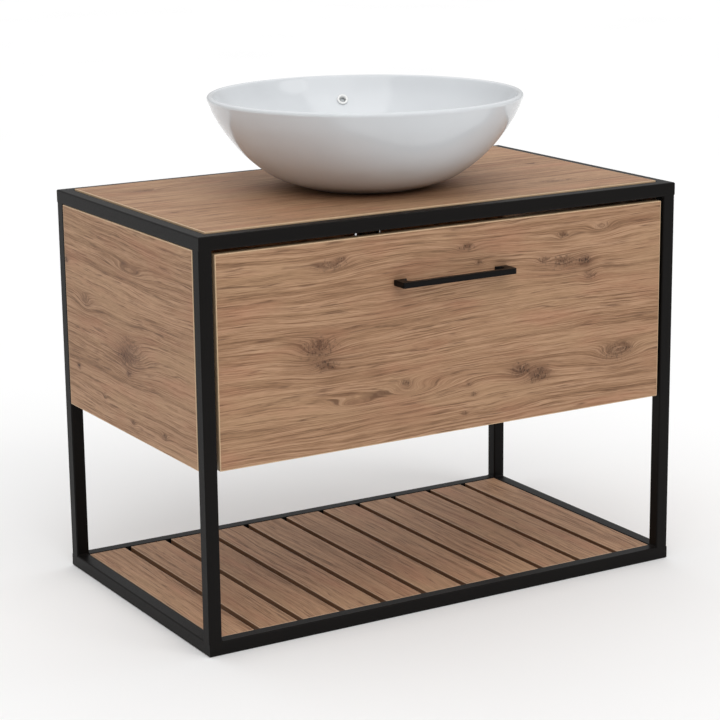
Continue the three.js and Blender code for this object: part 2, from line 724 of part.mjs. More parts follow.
const DIP_R = PIPE_R + 0.5;
const DIP_END = 386;
const BELL_TOP = 480;
const BELL_END = 402;
const BELL_BORE = BOTTLE_R - 2.5;
const bell = turned([
  [PIPE_BORE, TAIL_END - GAP],
  [COLLAR_R, TAIL_END - GAP],
  [COLLAR_R, COLLAR_UNDERSIDE],
  [DIP_R, COLLAR_UNDERSIDE],
  [DIP_R, BELL_TOP],
  [BOTTLE_R - 4, BELL_TOP - 4],
  [BOTTLE_R, BELL_TOP - 10],
  [BOTTLE_R, BELL_END],
  [BELL_BORE, BELL_END],
  [BELL_BORE, BELL_TOP - 12],
  [DIP_R, BELL_TOP - 6],
  [DIP_R, DIP_END],
  [PIPE_BORE, DIP_END],
]);
const OUTLET_START = 24;
const OUTLET_END = 48;
const OUTLET_R = 18;
const BORE_START = DIP_R + 2;
const boss = new THREE.CylinderGeometry(OUTLET_R, OUTLET_R, OUTLET_END - OUTLET_START, 28);
boss.translate(0, (OUTLET_START + OUTLET_END) / 2, PIPE_Z);
const bossBore = new THREE.CylinderGeometry(PIPE_BORE, PIPE_BORE, OUTLET_END + 1 - BORE_START, 28);
bossBore.translate(0, (BORE_START + OUTLET_END + 1) / 2, PIPE_Z);
addOnDrain('trap_body', cut(join(bell, boss), bossBore), CHROME);

const CUP_R = BOTTLE_R + 3;
const CUP_CLEAR_R = BOTTLE_R + 0.4;
const CUP_BOTTOM = 368;
const CUP_FLOOR = CUP_BOTTOM + 5;
const CUP_SHELF = BELL_END - 0.4;
addOnDrain('trap_cup', turned([
  [0, CUP_BOTTOM],
  [CUP_R - 6, CUP_BOTTOM],
  [CUP_R, CUP_BOTTOM + 6],
  [CUP_R, CUP_SHELF + 5.4],
  [CUP_R - 1, CUP_SHELF + 7.4],
  [CUP_CLEAR_R, CUP_SHELF + 7.4],
  [CUP_CLEAR_R, CUP_SHELF],
  [BELL_BORE - 0.5, CUP_SHELF],
  [BELL_BORE - 0.5, CUP_FLOOR + 4],
  [BELL_BORE - 5.5, CUP_FLOOR],
  [0, CUP_FLOOR],
]), CHROME);

// Pieces turned about the outlet's axis; heights run from the wall back towards the trap.
function addOnOutlet(name, outline) {
  const geometry = turned(outline, 28);
  geometry.rotateX(Math.PI / 2);
  geometry.translate(0, BACK - GAP, PIPE_Z);
  add(name, geometry, CHROME);
}
const pipeLength = BACK - BASIN_Y - OUTLET_END - 2 * GAP;
addOnOutlet('trap_outlet_pipe', [
  [PIPE_BORE, 0],
  [PIPE_R, 0],
  [PIPE_R, pipeLength],
  [PIPE_BORE, pipeLength],
]);
const FLANGE_CLEAR_R = PIPE_R + 0.4;
const WALL_FLANGE_R = 32;
addOnOutlet('wall_flange', [
  [FLANGE_CLEAR_R, 0],
  [WALL_FLANGE_R, 0],
  [WALL_FLANGE_R, 1.5],
  [WALL_FLANGE_R - 3, 5],
  [WALL_FLANGE_R - 13, 8],
  [FLANGE_CLEAR_R, 8],
]);

export default model;
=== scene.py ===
import math
from functools import partial

import bmesh
import bpy
from mathutils import Matrix, Vector


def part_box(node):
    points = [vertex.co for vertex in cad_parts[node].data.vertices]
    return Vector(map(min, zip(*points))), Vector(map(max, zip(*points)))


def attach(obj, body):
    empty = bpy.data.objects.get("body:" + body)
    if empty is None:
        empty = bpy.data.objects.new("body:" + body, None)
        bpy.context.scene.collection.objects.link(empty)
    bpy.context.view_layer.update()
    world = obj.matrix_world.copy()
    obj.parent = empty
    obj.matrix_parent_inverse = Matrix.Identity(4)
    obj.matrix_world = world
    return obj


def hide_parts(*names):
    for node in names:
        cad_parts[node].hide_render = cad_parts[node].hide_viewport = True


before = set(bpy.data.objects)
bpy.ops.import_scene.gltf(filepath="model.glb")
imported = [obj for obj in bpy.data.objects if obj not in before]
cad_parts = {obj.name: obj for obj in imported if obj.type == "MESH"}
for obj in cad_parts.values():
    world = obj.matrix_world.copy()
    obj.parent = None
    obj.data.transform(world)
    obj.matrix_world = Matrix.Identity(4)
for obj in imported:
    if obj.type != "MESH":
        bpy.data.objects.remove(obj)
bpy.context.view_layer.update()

# ---------------------------------------------------------------------------------------------
# Frame: twelve lengths of 20 mm square steel tube, mitred into a ring at the top and another at
# the bottom with a post in each corner, welded, ground flush and powder coated black.
# ---------------------------------------------------------------------------------------------
MM = 0.001
TUBE_WALL = 1.5 * MM
TUBE_CORNER = 2.2 * MM
WELD_LEG = 2.2 * MM
WELD_RIPPLE = 3.2 * MM
WELD_ROOT = 0.3 * MM
WELD_HOLLOW = 0.85
UP = Vector((0, 0, 1))


def linear(code):
    """An sRGB hex colour as linear RGBA."""
    parts = [int(code[i:i + 2], 16) / 255 for i in (1, 3, 5)]
    return [p / 12.92 if p <= 0.04045 else ((p + 0.055) / 1.055) ** 2.4 for p in parts] + [1.0]


def add_node(tree_owner, kind, inputs=(), stops=None, **settings):
    """Adds a node. Its inputs come by name or in order: a node or an output is linked, else set."""
    tree = tree_owner.node_tree
    node = tree.nodes.new("ShaderNode" + kind)
    for name, value in settings.items():
        setattr(node, name, value)
    for name, value in (inputs.items() if isinstance(inputs, dict) else enumerate(inputs)):
        if isinstance(value, bpy.types.Node):
            value = next(output for output in value.outputs if output.enabled)
        if isinstance(value, bpy.types.NodeSocket):
            tree.links.new(value, node.inputs[name])
        else:
            node.inputs[name].default_value = value
    if stops:
        ramp = node.color_ramp
        ramp.elements[0].position, ramp.elements[0].color = stops[0][0], linear(stops[0][1])
        ramp.elements[1].position, ramp.elements[1].color = stops[-1][0], linear(stops[-1][1])
        for place, code in stops[1:-1]:
            ramp.elements.new(place).color = linear(code)
    return node


def start_material(name):
    """An empty material, its node adder, and where a point of the object is, in millimetres."""
    material = bpy.data.materials.new(name)
    material.use_nodes = True
    material.node_tree.nodes.clear()
    node = partial(add_node, material)
    where = node("TexCoord").outputs["Object"]
    return material, node, node("VectorMath", {0: where, "Scale": 1 / MM}, operation="SCALE")


def powder_coat(name, colour, roughness):
    """Polyester powder coat, baked: a fine orange peel of about 1.5 mm breaks up its soft shine."""
    material, node, where = start_material(name)
    peel = node("TexNoise", {"Vector": where, "Scale": 1 / 1.5, "Detail": 2.0})
    cloud = node("TexNoise", {"Vector": where, "Scale": 1 / 60, "Detail": 3.0})
    tone = node("MapRange", {"Value": cloud, "To Min": 0.9, "To Max": 1.12})
    paint = node("VectorMath", {0: linear(colour)[:3], "Scale": tone}, operation="SCALE")
    rough = node("MapRange", (peel, 0.3, 0.7, roughness - 0.05, roughness + 0.05))
    bump = node("Bump", {"Height": peel, "Strength": 0.25, "Distance": 0.05 * MM})
    shader = node("BsdfPrincipled", {
        "Base Color": paint, "Roughness": rough, "IOR": 1.5, "Specular IOR Level": 0.1, "Normal": bump,
    })
    node("OutputMaterial", {"Surface": shader})
    return material


def make_piece(name, points, faces, materials, body, nodes, face_slots=None):
    """A mesh object with smooth shading over its rounded edges, riding on its CAD body."""
    mesh = bpy.data.meshes.new(name)
    mesh.from_pydata([tuple(p) for p in points], [], faces)
    for material in materials:
        mesh.materials.append(material)
    if face_slots:
        mesh.polygons.foreach_set("material_index", face_slots)
    return finish_piece(name, mesh, body, nodes)


def finish_piece(name, mesh, body, nodes):
    """Welds and smooths a mesh, and hands it over as a piece of the body in place of its nodes."""
    work = bmesh.new()
    work.from_mesh(mesh)
    bmesh.ops.remove_doubles(work, verts=work.verts, dist=1e-7)
    bmesh.ops.recalc_face_normals(work, faces=work.faces)
    work.to_mesh(mesh)
    work.free()
    mesh.polygons.foreach_set("use_smooth", [True] * len(mesh.polygons))
    mesh.set_sharp_from_angle(angle=math.radians(40))
    piece = bpy.data.objects.new(name, mesh)
    bpy.context.scene.collection.objects.link(piece)
    flat = piece.modifiers.new("flat_faces_stay_flat", "WEIGHTED_NORMAL")
    flat.keep_sharp = True
    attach(piece, body)
    if nodes:
        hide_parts(*nodes)
    return piece


def rounded_square(half_u, half_v, radius, steps=6):
    """Outline of a rectangle with round corners, about its middle."""
    points = []
    for quarter in range(4):
        centre_u = (half_u - radius) * (1 if quarter in (0, 3) else -1)
        centre_v = (half_v - radius) * (1 if quarter in (0, 1) else -1)
        for i in range(steps + 1):
            angle = math.radians(90 * (quarter + i / steps))
            points.append((centre_u + radius * math.cos(angle), centre_v + radius * math.sin(angle)))
    return points


def strips(rows, closed=False):
    """Quads between neighbouring rows of points; each row is a closed loop of the same length."""
    count = len(rows[0])
    faces = []
    pairs = len(rows) if closed else len(rows) - 1
    for k in range(pairs):
        a, b = rows[k], rows[(k + 1) % len(rows)]
        faces += [(a[i], a[(i + 1) % count], b[(i + 1) % count], b[i]) for i in range(count)]
    return faces


frame_paint = powder_coat("steel_powder_coat_black", "#110f0e", 0.45)


def square_tube(name, start, run, inward, length, mitre, width):
    """A hollow tube along run from start, its section's middle; inward points into the ring."""
    up = run.cross(inward)
    half = width / 2
    outer = rounded_square(half, half, TUBE_CORNER)
    inner = rounded_square(half - TUBE_WALL, half - TUBE_WALL, TUBE_CORNER - TUBE_WALL)
    points, rows = [], []
    for section, far in ((outer, False), (outer, True), (inner, True), (inner, False)):
        rows.append(range(len(points), len(points) + len(section)))
        for u, v in section:
            setback = (u + half) if mitre else 0
            along = length - setback if far else setback
            points.append(start + run * along + inward * u + up * v)
    make_piece(name, points, strips(rows, closed=True), [frame_paint], "vanity", [name])


left_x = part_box("top_rail_left")[0].x
right_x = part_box("top_rail_right")[1].x
front_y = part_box("top_rail_front")[0].y
back_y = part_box("top_rail_back")[1].y
tube_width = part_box("top_rail_front")[1].y - front_y
for level in ("bottom", "top"):
    low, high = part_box(level + "_rail_front")
    height = (low.z + high.z) / 2
    ring = {
        "front": (Vector((left_x, front_y, height)), Vector((1, 0, 0)), right_x - left_x),
        "right": (Vector((right_x, front_y, height)), Vector((0, 1, 0)), back_y - front_y),
        "back": (Vector((right_x, back_y, height)), Vector((-1, 0, 0)), right_x - left_x),
        "left": (Vector((left_x, back_y, height)), Vector((0, -1, 0)), back_y - front_y),
    }
    for side, (corner, run, length) in ring.items():
        inward = Vector((0, 0, 1)).cross(run)
        start = corner + inward * (tube_width / 2)
        square_tube(f"{level}_rail_{side}", start, run, inward, length, True, tube_width)

post_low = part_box("bottom_rail_front")[1].z
post_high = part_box("top_rail_front")[0].z
for depth in ("front", "back"):
    for side in ("left", "right"):
        name = f"post_{depth}_{side}"
        low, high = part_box(name)
        middle = (low + high) / 2
        start = Vector((middle.x, middle.y, post_low - TUBE_CORNER))
        length = post_high - post_low + 2 * TUBE_CORNER
        square_tube(name, start, Vector((0, 0, 1)), Vector((1, 0, 0)), length, False, tube_width)


def weld_fillet(name, corner, along, reach_a, reach_b, length):
    """A small concave weld in an inside corner, with the ripple that a hand-held torch leaves."""
    steps = max(4, round(length / (WELD_RIPPLE / 4)))
    arc = 5
    points, rows = [], []
    for k in range(steps + 1):
        travel = length * k / steps
        leg = WELD_LEG * (1 + 0.1 * math.sin(2 * math.pi * travel / WELD_RIPPLE))
        row = [corner + along * travel - (reach_a + reach_b) * WELD_ROOT]
        for i in range(arc + 1):
            turn = math.radians(90 * i / arc)
            a = leg * (1 - math.sin(turn) * WELD_HOLLOW if i < arc else 0.0)
            b = leg * (1 - math.cos(turn) * WELD_HOLLOW if i > 0 else 0.0)
            row.append(corner + along * travel + reach_a * a + reach_b * b)
        rows.append(range(len(points), len(points) + len(row)))
        points += row
    faces = strips(rows) + [tuple(reversed(rows[0])), tuple(rows[-1])]
    make_piece(name, points, faces, [frame_paint], "vanity", [])


# A weld runs round the two inner sides of each post, where it stands on or under a rail.
weld_run = tube_width - TUBE_CORNER
for depth, inward_y in (("front", 1), ("back", -1)):
    for side, inward_x in (("left", 1), ("right", -1)):
        low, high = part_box(f"post_{depth}_{side}")
        corner_x = high.x if inward_x > 0 else low.x
        corner_y = high.y if inward_y > 0 else low.y
        in_x, in_y = Vector((inward_x, 0, 0)), Vector((0, inward_y, 0))
        for level, z, rise in (("foot", post_low, UP), ("head", post_high, -UP)):
            for facing, along, outward in (("x", in_y, in_x), ("y", in_x, in_y)):
                start = Vector((corner_x, corner_y, z)) - along * weld_run
                weld_fillet(f"weld_{level}_{depth}_{side}_{facing}", start, along, outward, rise,
                            weld_run - TUBE_CORNER)

# ---------------------------------------------------------------------------------------------
# Flat bars: two under the slats and two under the worktop, 30 x 3 mm hot-rolled steel with
# slightly rounded edges, welded between the rails and coated with the frame.
# ---------------------------------------------------------------------------------------------
BAR_EDGE = 0.6 * MM


def rows_from_profile(profile, middle, half_u, half_v, u, v, thin, corner):
    """Rows of points round a board or plate; the profile gives each row's inset and its height."""
    points, rows = [], []
    for inset, height in profile:
        outline = rounded_square(half_u - inset, half_v - inset, max(corner - inset, 0.1 * MM), 3)
        rows.append(range(len(points), len(points) + len(outline)))
        for a, b in outline:
            point = [0.0, 0.0, 0.0]
            point[u], point[v], point[thin] = middle[u] + a, middle[v] + b, height
            points.append(point)
    return points, rows


def plate(name, low, high, thin, edge, corner, material, nodes, slot, steps=3):
    """A plate with rounded edges and corners; thin is the axis of its thickness."""
    u, v = [axis for axis in range(3) if axis != thin]
    rounding = [(edge * (1 - math.sin(a)), edge * (1 - math.cos(a)))
                for a in (math.radians(90 * i / steps) for i in range(steps + 1))]
    profile = [(inset, high[thin] - drop) for inset, drop in rounding]
    profile += [(inset, low[thin] + drop) for inset, drop in reversed(rounding)]
    points, rows = rows_from_profile(
        profile, (low + high) / 2, (high[u] - low[u]) / 2, (high[v] - low[v]) / 2, u, v, thin, corner)
    faces = strips(rows) + [tuple(rows[0]), tuple(rows[-1])]
    make_piece(name, points, faces, [material], "vanity", nodes)


for name in ("shelf_support_front", "shelf_support_back", "top_support_left", "top_support_right"):
    plate(name, *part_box(name), 2, BAR_EDGE, BAR_EDGE, frame_paint, [name], "powder_coat")

# ---------------------------------------------------------------------------------------------
# Boards: 16 mm chipboard faced with a printed melamine oak decor, knotty and with open figure,
# and closed on its edges with paler 1.3 mm ABS edging whose corners are scraped round.
# ---------------------------------------------------------------------------------------------
EDGING = 1.3 * MM
EDGING_ROUND = 1 * MM
GLUE_LINE = 0.12 * MM
BOARD_CORNER = 1.2 * MM
OAK_LIGHT = "#b99374"
OAK_MIDDLE = "#aa8466"
OAK_BROWN = "#9a7658"
OAK_DARK = "#7d5b42"
OAK_RED = "#a9765b"
OAK_TAN = "#ae8b6a"
OAK_PORE = "#5f412e"
KNOT_RIM = "#6d4b36"
KNOT_HEART = "#2b1b13"
# Each slat is sawn from another part of the board: the decor jumps by this many mm per slat.
SLAT_JUMP = (437, 61, 0)
# A knot's pull on the growth lines falls steeply off, ends at this many times its reach, and
# pushes lines aside by this share of its lift and of how far they already are from its middle.
KNOT_STEEP = 2.2
KNOT_FADE = 2.2
KNOT_LIFT = 0.8
KNOT_SPREAD = 0.75


def oak_decor(name, along, across, knots, shift=(0, 0), slat_pitch=None):
    """Oak decor print: growth lines run along the board and flow round each knot.

    A knot is (u, v, reach along, reach across, lift, darkness) in millimetres; lift is how far it
    pushes the growth lines aside. The lines are level lines of one field, so all layers agree.
    """
    material, node, where = start_material(name)

    def figure(ground, length, width, detail, roughness=0.5):
        """A layer of figure whose flecks are about this long and wide, in millimetres."""
        fleck = node("VectorMath", (ground, (1 / length, 1 / width, 1)), operation="MULTIPLY")
        return node("TexNoise", {
            "Vector": fleck, "Scale": 1.0, "Detail": detail, "Roughness": roughness,
        }, noise_dimensions="2D")

    axes = node("SeparateXYZ", (where,)).outputs
    spot_u, spot_v = axes[along], axes[across]
    spot = node("CombineXYZ", (spot_u, spot_v))
    ground = spot
    if slat_pitch:
        slat = node("Math", (spot_v, 1 / slat_pitch), operation="MULTIPLY")
        slat = node("Math", (slat,), operation="ROUND")
        ground = node("VectorMath", (slat, SLAT_JUMP, spot), operation="MULTIPLY_ADD")
    ground_u = node("SeparateXYZ", (ground,)).outputs["X"]
    wide = node("VectorMath", (ground, (*shift, 0)), operation="ADD")
    wide_u, wide_v = node("SeparateXYZ", (wide,)).outputs[:2]
    crosswise = node("CombineXYZ", (wide_v, wide_u))

    # The field that the growth lines follow: across the board, bent by slow waves and by knots.
    field = node("Math", (figure(wide, 380, 90, 1), 26, wide_v), operation="MULTIPLY_ADD")
    field = node("Math", (figure(wide, 95, 20, 2), 5, field), operation="MULTIPLY_ADD")
    halo = heart = 0.0
    if knots:
        ragged = node("Math", (figure(ground, 7, 5, 3), 1.5, -0.75), operation="MULTIPLY_ADD")
    for knot_u, knot_v, reach_u, reach_v, lift, darkness in knots:
        off = node("VectorMath", (spot, (knot_u, knot_v, 0)), operation="SUBTRACT")
        reach = node("VectorMath", (off, (1 / reach_u, 1 / reach_v, 1)), operation="MULTIPLY")
        far = node("VectorMath", (reach,), operation="LENGTH")
        far_squared = node("Math", (far, far), operation="MULTIPLY")
        steep = node("Math", (far_squared, KNOT_STEEP, 1), operation="MULTIPLY_ADD")
        fade = node("MapRange", (far, 0, KNOT_FADE, 1, 0), interpolation_type="SMOOTHSTEP")
        hill = node("Math", (fade, steep), operation="DIVIDE")
        push = node("Math", (spot_v, -KNOT_SPREAD, KNOT_SPREAD * knot_v + KNOT_LIFT * lift),
                    operation="MULTIPLY_ADD")
        field = node("Math", (hill, push, field), operation="MULTIPLY_ADD")
        halo = node("Math", (hill, darkness, halo), operation="MULTIPLY_ADD")
        torn = node("MapRange", (node("Math", (far, ragged), operation="ADD"), 0.2, 0.6, darkness, 0))
        heart = node("Math", (torn, heart), operation="MAXIMUM")

    # Growth rings, streaks, fine dark lines that come and go, and pores, all along the field.
    flow = node("CombineXYZ", (wide_u, field))
    rings = figure(flow, 900, 5.6, 3, 0.62)
    streaks = figure(flow, 70, 1.5, 3, 0.65)
    fibres = figure(node("CombineXYZ", (ground_u, field)), 16, 0.6, 2)
    level = node("Math", (figure(flow, 420, 7.5, 2, 0.6), 0.5), operation="SUBTRACT")
    level = node("Math", (level,), operation="ABSOLUTE")
    broken = node("MapRange", (figure(crosswise, 9, 45, 2), 0.4, 0.6, 0, 1))
    lines = node("Math", (node("MapRange", (level, 0.004, 0.034, 0.7, 0)), broken), operation="MULTIPLY")
    patches = figure(wide, 150, 36, 2)
    clouds = figure(crosswise, 60, 210, 2)
    reddish = node("MapRange", (patches, 0.52, 0.72, 0, 0.42))
    bleached = node("MapRange", (clouds, 0.48, 0.68, 0, 0.5))
    browned = node("MapRange", (clouds, 0.5, 0.34, 0, 0.35))

    half_rings = node("Math", (rings, 0.5), operation="MULTIPLY")
    grain = node("Math", (streaks, 0.5, half_rings), operation="MULTIPLY_ADD")
    oak = node("ValToRGB", (grain,), stops=[
        (0.39, OAK_DARK), (0.46, OAK_BROWN), (0.52, OAK_MIDDLE), (0.59, OAK_LIGHT),
    ])
    for share, code in ((reddish, OAK_RED), (bleached, OAK_TAN), (browned, OAK_BROWN), (lines, OAK_PORE)):
        oak = node("Mix", {0: share, 6: oak, 7: linear(code)}, data_type="RGBA")
    tone = node("MapRange", (fibres, 0.3, 0.7, 0.9, 1.08))
    oak = node("VectorMath", {0: oak, "Scale": tone}, operation="SCALE")
    if knots:
        streaky = node("MapRange", (streaks, 0.35, 0.65, 1.4, 0.5))
        cracked = node("MapRange", (figure(ground, 2.2, 5, 2, 0.6), 0.5, 0.6, 0.3, 1))
        for dark, pattern, most, code in ((halo, streaky, 0.7, KNOT_RIM), (heart, cracked, 0.92, KNOT_HEART)):
            share = node("Math", (dark, pattern), operation="MULTIPLY")
            share = node("Math", (share, most), operation="MINIMUM")
            oak = node("Mix", {0: share, 6: oak, 7: linear(code)}, data_type="RGBA")
    rough = node("MapRange", (fibres, 0.3, 0.7, 0.66, 0.56))
    height = node("Math", (streaks, 0.6, fibres), operation="MULTIPLY_ADD")
    bump = node("Bump", {"Height": height, "Strength": 0.35, "Distance": 0.12 * MM})
    shader = node("BsdfPrincipled", {
        "Base Color": oak, "Roughness": rough, "IOR": 1.5, "Specular IOR Level": 0.3, "Normal": bump,
    })
    node("OutputMaterial", {"Surface": shader})
    return material


def abs_edging(name, colour):
    """ABS edging, extruded and printed: faint streaks, 14 mm long and 2 mm deep, and a soft shine."""
    material, node, where = start_material(name)
    stretched = node("VectorMath", (where, (1 / 14, 1 / 14, 1 / 2)), operation="MULTIPLY")
    streak = node("TexNoise", {"Vector": stretched, "Scale": 1.0, "Detail": 3.0})
    tone = node("MapRange", (streak, 0.3, 0.7, 0.93, 1.05))
    tint = node("VectorMath", {0: linear(colour)[:3], "Scale": tone}, operation="SCALE")
    bump = node("Bump", {"Height": streak, "Strength": 0.2, "Distance": 0.05 * MM})
    shader = node("BsdfPrincipled", {"Base Color": tint, "Roughness": 0.38, "IOR": 1.52, "Normal": bump})
    node("OutputMaterial", {"Surface": shader})
    return material


edging_material = abs_edging("abs_edging_pale_oak", "#cfb08c")


def board(name, thin, decor, body, edging=EDGING, edging_round=EDGING_ROUND, banding=None,
          flat_edging_painted_shade=None, span=None):
    """A faced board in its node's box; its edging is a ring of strips behind a fine glue line."""
    low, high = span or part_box(name)
    u, v = [axis for axis in range(3) if axis != thin]
    arc = [(edging_round * (1 - math.sin(a)), edging_round * (1 - math.cos(a)))
           for a in (math.radians(90 * i / 4) for i in range(5))]
    face = [(edging + GLUE_LINE, 0.0), (edging, GLUE_LINE), (edging - GLUE_LINE, 0.0)] + arc
    profile = [(inset, high[thin] - drop) for inset, drop in face]
    profile += [(inset, low[thin] + drop) for inset, drop in reversed(face)]
    middle = (low + high) / 2
    points, rows = rows_from_profile(
        profile, middle, (high[u] - low[u]) / 2, (high[v] - low[v]) / 2, u, v, thin, BOARD_CORNER)
    faces = strips(rows)
    per_row = len(rows[0])
    flat_row = len(face) - 1
    face_slots = [2 if k // per_row == flat_row else 1 for k in range(len(faces))] + [0, 0]
    faces += [tuple(rows[0]), tuple(rows[-1])]
    # The flat band of the edging can take a material of its own: on the slats it is a dark brown that paints
    # the shade in the gaps between them.
    radius = banding or edging_material
    materials = [decor, radius, flat_edging_painted_shade or radius]
    return make_piece(name, points, faces, materials, body, [name], face_slots)


# Side panels: grain from front to back, flush with the outside of the frame.
side_knots = [
    (3, 392, 70, 34, 36, 0.45),
    (22, 380, 46, 20, -20, 0.65),
    (12, 358, 12, 9, 6, 0.8),
    (158, 440, 30, 18, 14, 0.3),
    (0, 511, 90, 14, 16, 0.1),
    (190, 333, 9, 8, 5, 0.85),
    (99, 306, 9, 7, 6, 0.7),
    (3, 287, 12, 8, 8, 0.6),
    (-101, 290, 14, 8, 9, 0.55),
    (224, 490, 16, 9, 9, 0.7),
]
side_decor = oak_decor("melamine_oak_side_left", 1, 2, side_knots, (310.0, 45.0))
right_knots = [(60, 470, 50, 22, 26, 0.5), (-90, 330, 30, 14, -16, 0.6), (140, 380, 12, 8, 7, 0.8)]
right_decor = oak_decor("melamine_oak_side_right", 1, 2, right_knots, (905.0, 230.0))
SIDE_BOARD = 16 * MM
PACKER_HALF_HEIGHT = 24 * MM
PACKER_EDGE = 0.4 * MM
PACKER_CORNER = 0.6 * MM
for side, outward, decor in (("left", -1, side_decor), ("right", 1, right_decor)):
    low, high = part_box(f"side_panel_{side}")
    outer_x = low.x if outward < 0 else high.x
    inner_x = high.x if outward < 0 else low.x
    board_inner_x = outer_x - outward * SIDE_BOARD
    board_low = Vector((min(outer_x, board_inner_x), low.y, low.z))
    board_high = Vector((max(outer_x, board_inner_x), high.y, high.z))
    board(f"side_panel_{side}", 0, decor, "vanity", span=(board_low, board_high))

    # A packer strip is glued on behind each runner, so that the drawer box clears the posts.
    runner_low, runner_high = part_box(f"runner_cabinet_{side}")
    runner_z = (runner_low.z + runner_high.z) / 2
    packer_low = Vector((min(inner_x, board_inner_x), runner_low.y, runner_z - PACKER_HALF_HEIGHT))
    packer_high = Vector((max(inner_x, board_inner_x), runner_high.y, runner_z + PACKER_HALF_HEIGHT))
    plate(f"packer_{side}", packer_low, packer_high, 0, PACKER_EDGE, PACKER_CORNER, decor, [], "oak_board")

# Worktop: drops into the top ring and stands 2 mm proud of it, so its pale edging shows. A bored
# hole under the basin takes the waste; its rim is never seen, so the board is cut with one hole.
top_knots = [
    (-300, 150, 46, 18, 22, 0.5),
    (-265, -150, 30, 12, 14, 0.4),
    (250, -120, 60, 20, 24, 0.45),
    (320, 40, 14, 8, 8, 0.8),
    (-345, -40, 10, 6, 6, 0.75),
    (300, 190, 20, 9, 10, 0.6),
]
WASTE_HOLE = 25 * MM
BORE_CLEARANCE = 5 * MM
top_decor = oak_decor("melamine_oak_worktop", 0, 1, top_knots, (120.0, 620.0))
worktop = board("worktop", 2, top_decor, "vanity")


def bored(piece, centre, radius, depth_low, depth_high, axis=UP, sides=96):
    """Bores a round hole through a piece, by an exact boolean that is applied to its mesh."""
    cutter_mesh = bpy.data.meshes.new("cutter")
    cutter_work = bmesh.new()
    bmesh.ops.create_cone(cutter_work, cap_ends=True, segments=sides, radius1=radius, radius2=radius,
                          depth=depth_high - depth_low)
    turn = UP.rotation_difference(axis).to_matrix().to_4x4()
    middle = centre + axis * ((depth_low + depth_high) / 2)
    bmesh.ops.transform(cutter_work, matrix=Matrix.Translation(middle) @ turn, verts=cutter_work.verts)
    cutter_work.to_mesh(cutter_mesh)
    cutter_work.free()
    combine(piece, cutter_mesh, "DIFFERENCE")


def combine(piece, other_mesh, operation):
    """Applies an exact boolean with another mesh, and smooths the result again."""
    other = bpy.data.objects.new("other", other_mesh)
    bpy.context.scene.collection.objects.link(other)
    step = piece.modifiers.new("boolean", "BOOLEAN")
    step.object, step.operation, step.solver = other, operation, "EXACT"
    keep = [m for m in piece.modifiers if m.type == "WEIGHTED_NORMAL"]
    for modifier in keep:
        modifier.show_viewport = False
    bpy.context.view_layer.update()
    result = bpy.data.meshes.new_from_object(piece.evaluated_get(bpy.context.evaluated_depsgraph_get()))
    piece.modifiers.remove(step)
    old = piece.data
    piece.data = result
    result.name = old.name
    bpy.data.meshes.remove(old)
    bpy.data.objects.remove(other)
    result.polygons.foreach_set("use_smooth", [True] * len(result.polygons))
    result.set_sharp_from_angle(angle=math.radians(40))
    for modifier in keep:
        modifier.show_viewport = True


basin_low, basin_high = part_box("basin")
drain_axis = Vector(((basin_low.x + basin_high.x) / 2, (basin_low.y + basin_high.y) / 2, 0))
worktop_low, worktop_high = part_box("worktop")
bored(worktop, drain_axis, WASTE_HOLE, worktop_low.z - BORE_CLEARANCE, worktop_high.z + BORE_CLEARANCE)

# Shelf: eleven slats sawn from the same board, grain from front to back, long edges banded; the flat of each
# long edge is coloured dark brown as painted shade for the gaps between the slats.
SLAT_EDGING = 1 * MM
SLAT_ROUND = 0.9 * MM
slat_pitch = (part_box("shelf_slat_02")[0].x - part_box("shelf_slat_01")[0].x) / MM
slat_decor = oak_decor("melamine_oak_slats", 1, 0, [], (55.0, 700.0), slat_pitch)
slat_edging = abs_edging("abs_edging_slat_radius", "#b8977a")
# Painted shade: the flat long edges of the slats get a dark brown in place of their paler edging colour, to
# stand in for the shadow in the gaps.
slat_edging_painted_shade = abs_edging("abs_edging_slat_painted_shade", "#7d5b42")
slat_names = sorted(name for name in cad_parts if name.startswith("shelf_slat_"))
for name in slat_names:
    board(name, 2, slat_decor, "vanity", SLAT_EDGING, SLAT_ROUND, slat_edging, slat_edging_painted_shade)

# Rear rail: the T-shaped board behind the drawer, screwed to the side panels; the CAD outline is
# kept, with its arrises eased.
ARRIS = 0.5 * MM


def eased(name, material, body, edge):
    """A copy of a CAD piece as one clean solid with its sharp edges rounded."""
    work = bmesh.new()
    work.from_mesh(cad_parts[name].data)
    bmesh.ops.remove_doubles(work, verts=work.verts, dist=1e-5)
    bmesh.ops.dissolve_limit(work, angle_limit=math.radians(2), verts=work.verts, edges=work.edges)
    sharp = [e for e in work.edges if len(e.link_faces) == 2 and e.calc_face_angle() > math.radians(40)]
    bmesh.ops.bevel(work, geom=sharp, offset=edge, segments=3, profile=0.5, affect="EDGES",
                    clamp_overlap=True)
    mesh = bpy.data.meshes.new(name)
    work.to_mesh(mesh)
    work.free()
    mesh.materials.clear()
    mesh.materials.append(material)
    return finish_piece(name, mesh, body, [name])


rear_decor = oak_decor("melamine_oak_rear_rail", 0, 2, [(180, 520, 40, 14, 15, 0.5)], (700.0, 90.0))
eased("rear_rail", rear_decor, "vanity", ARRIS)

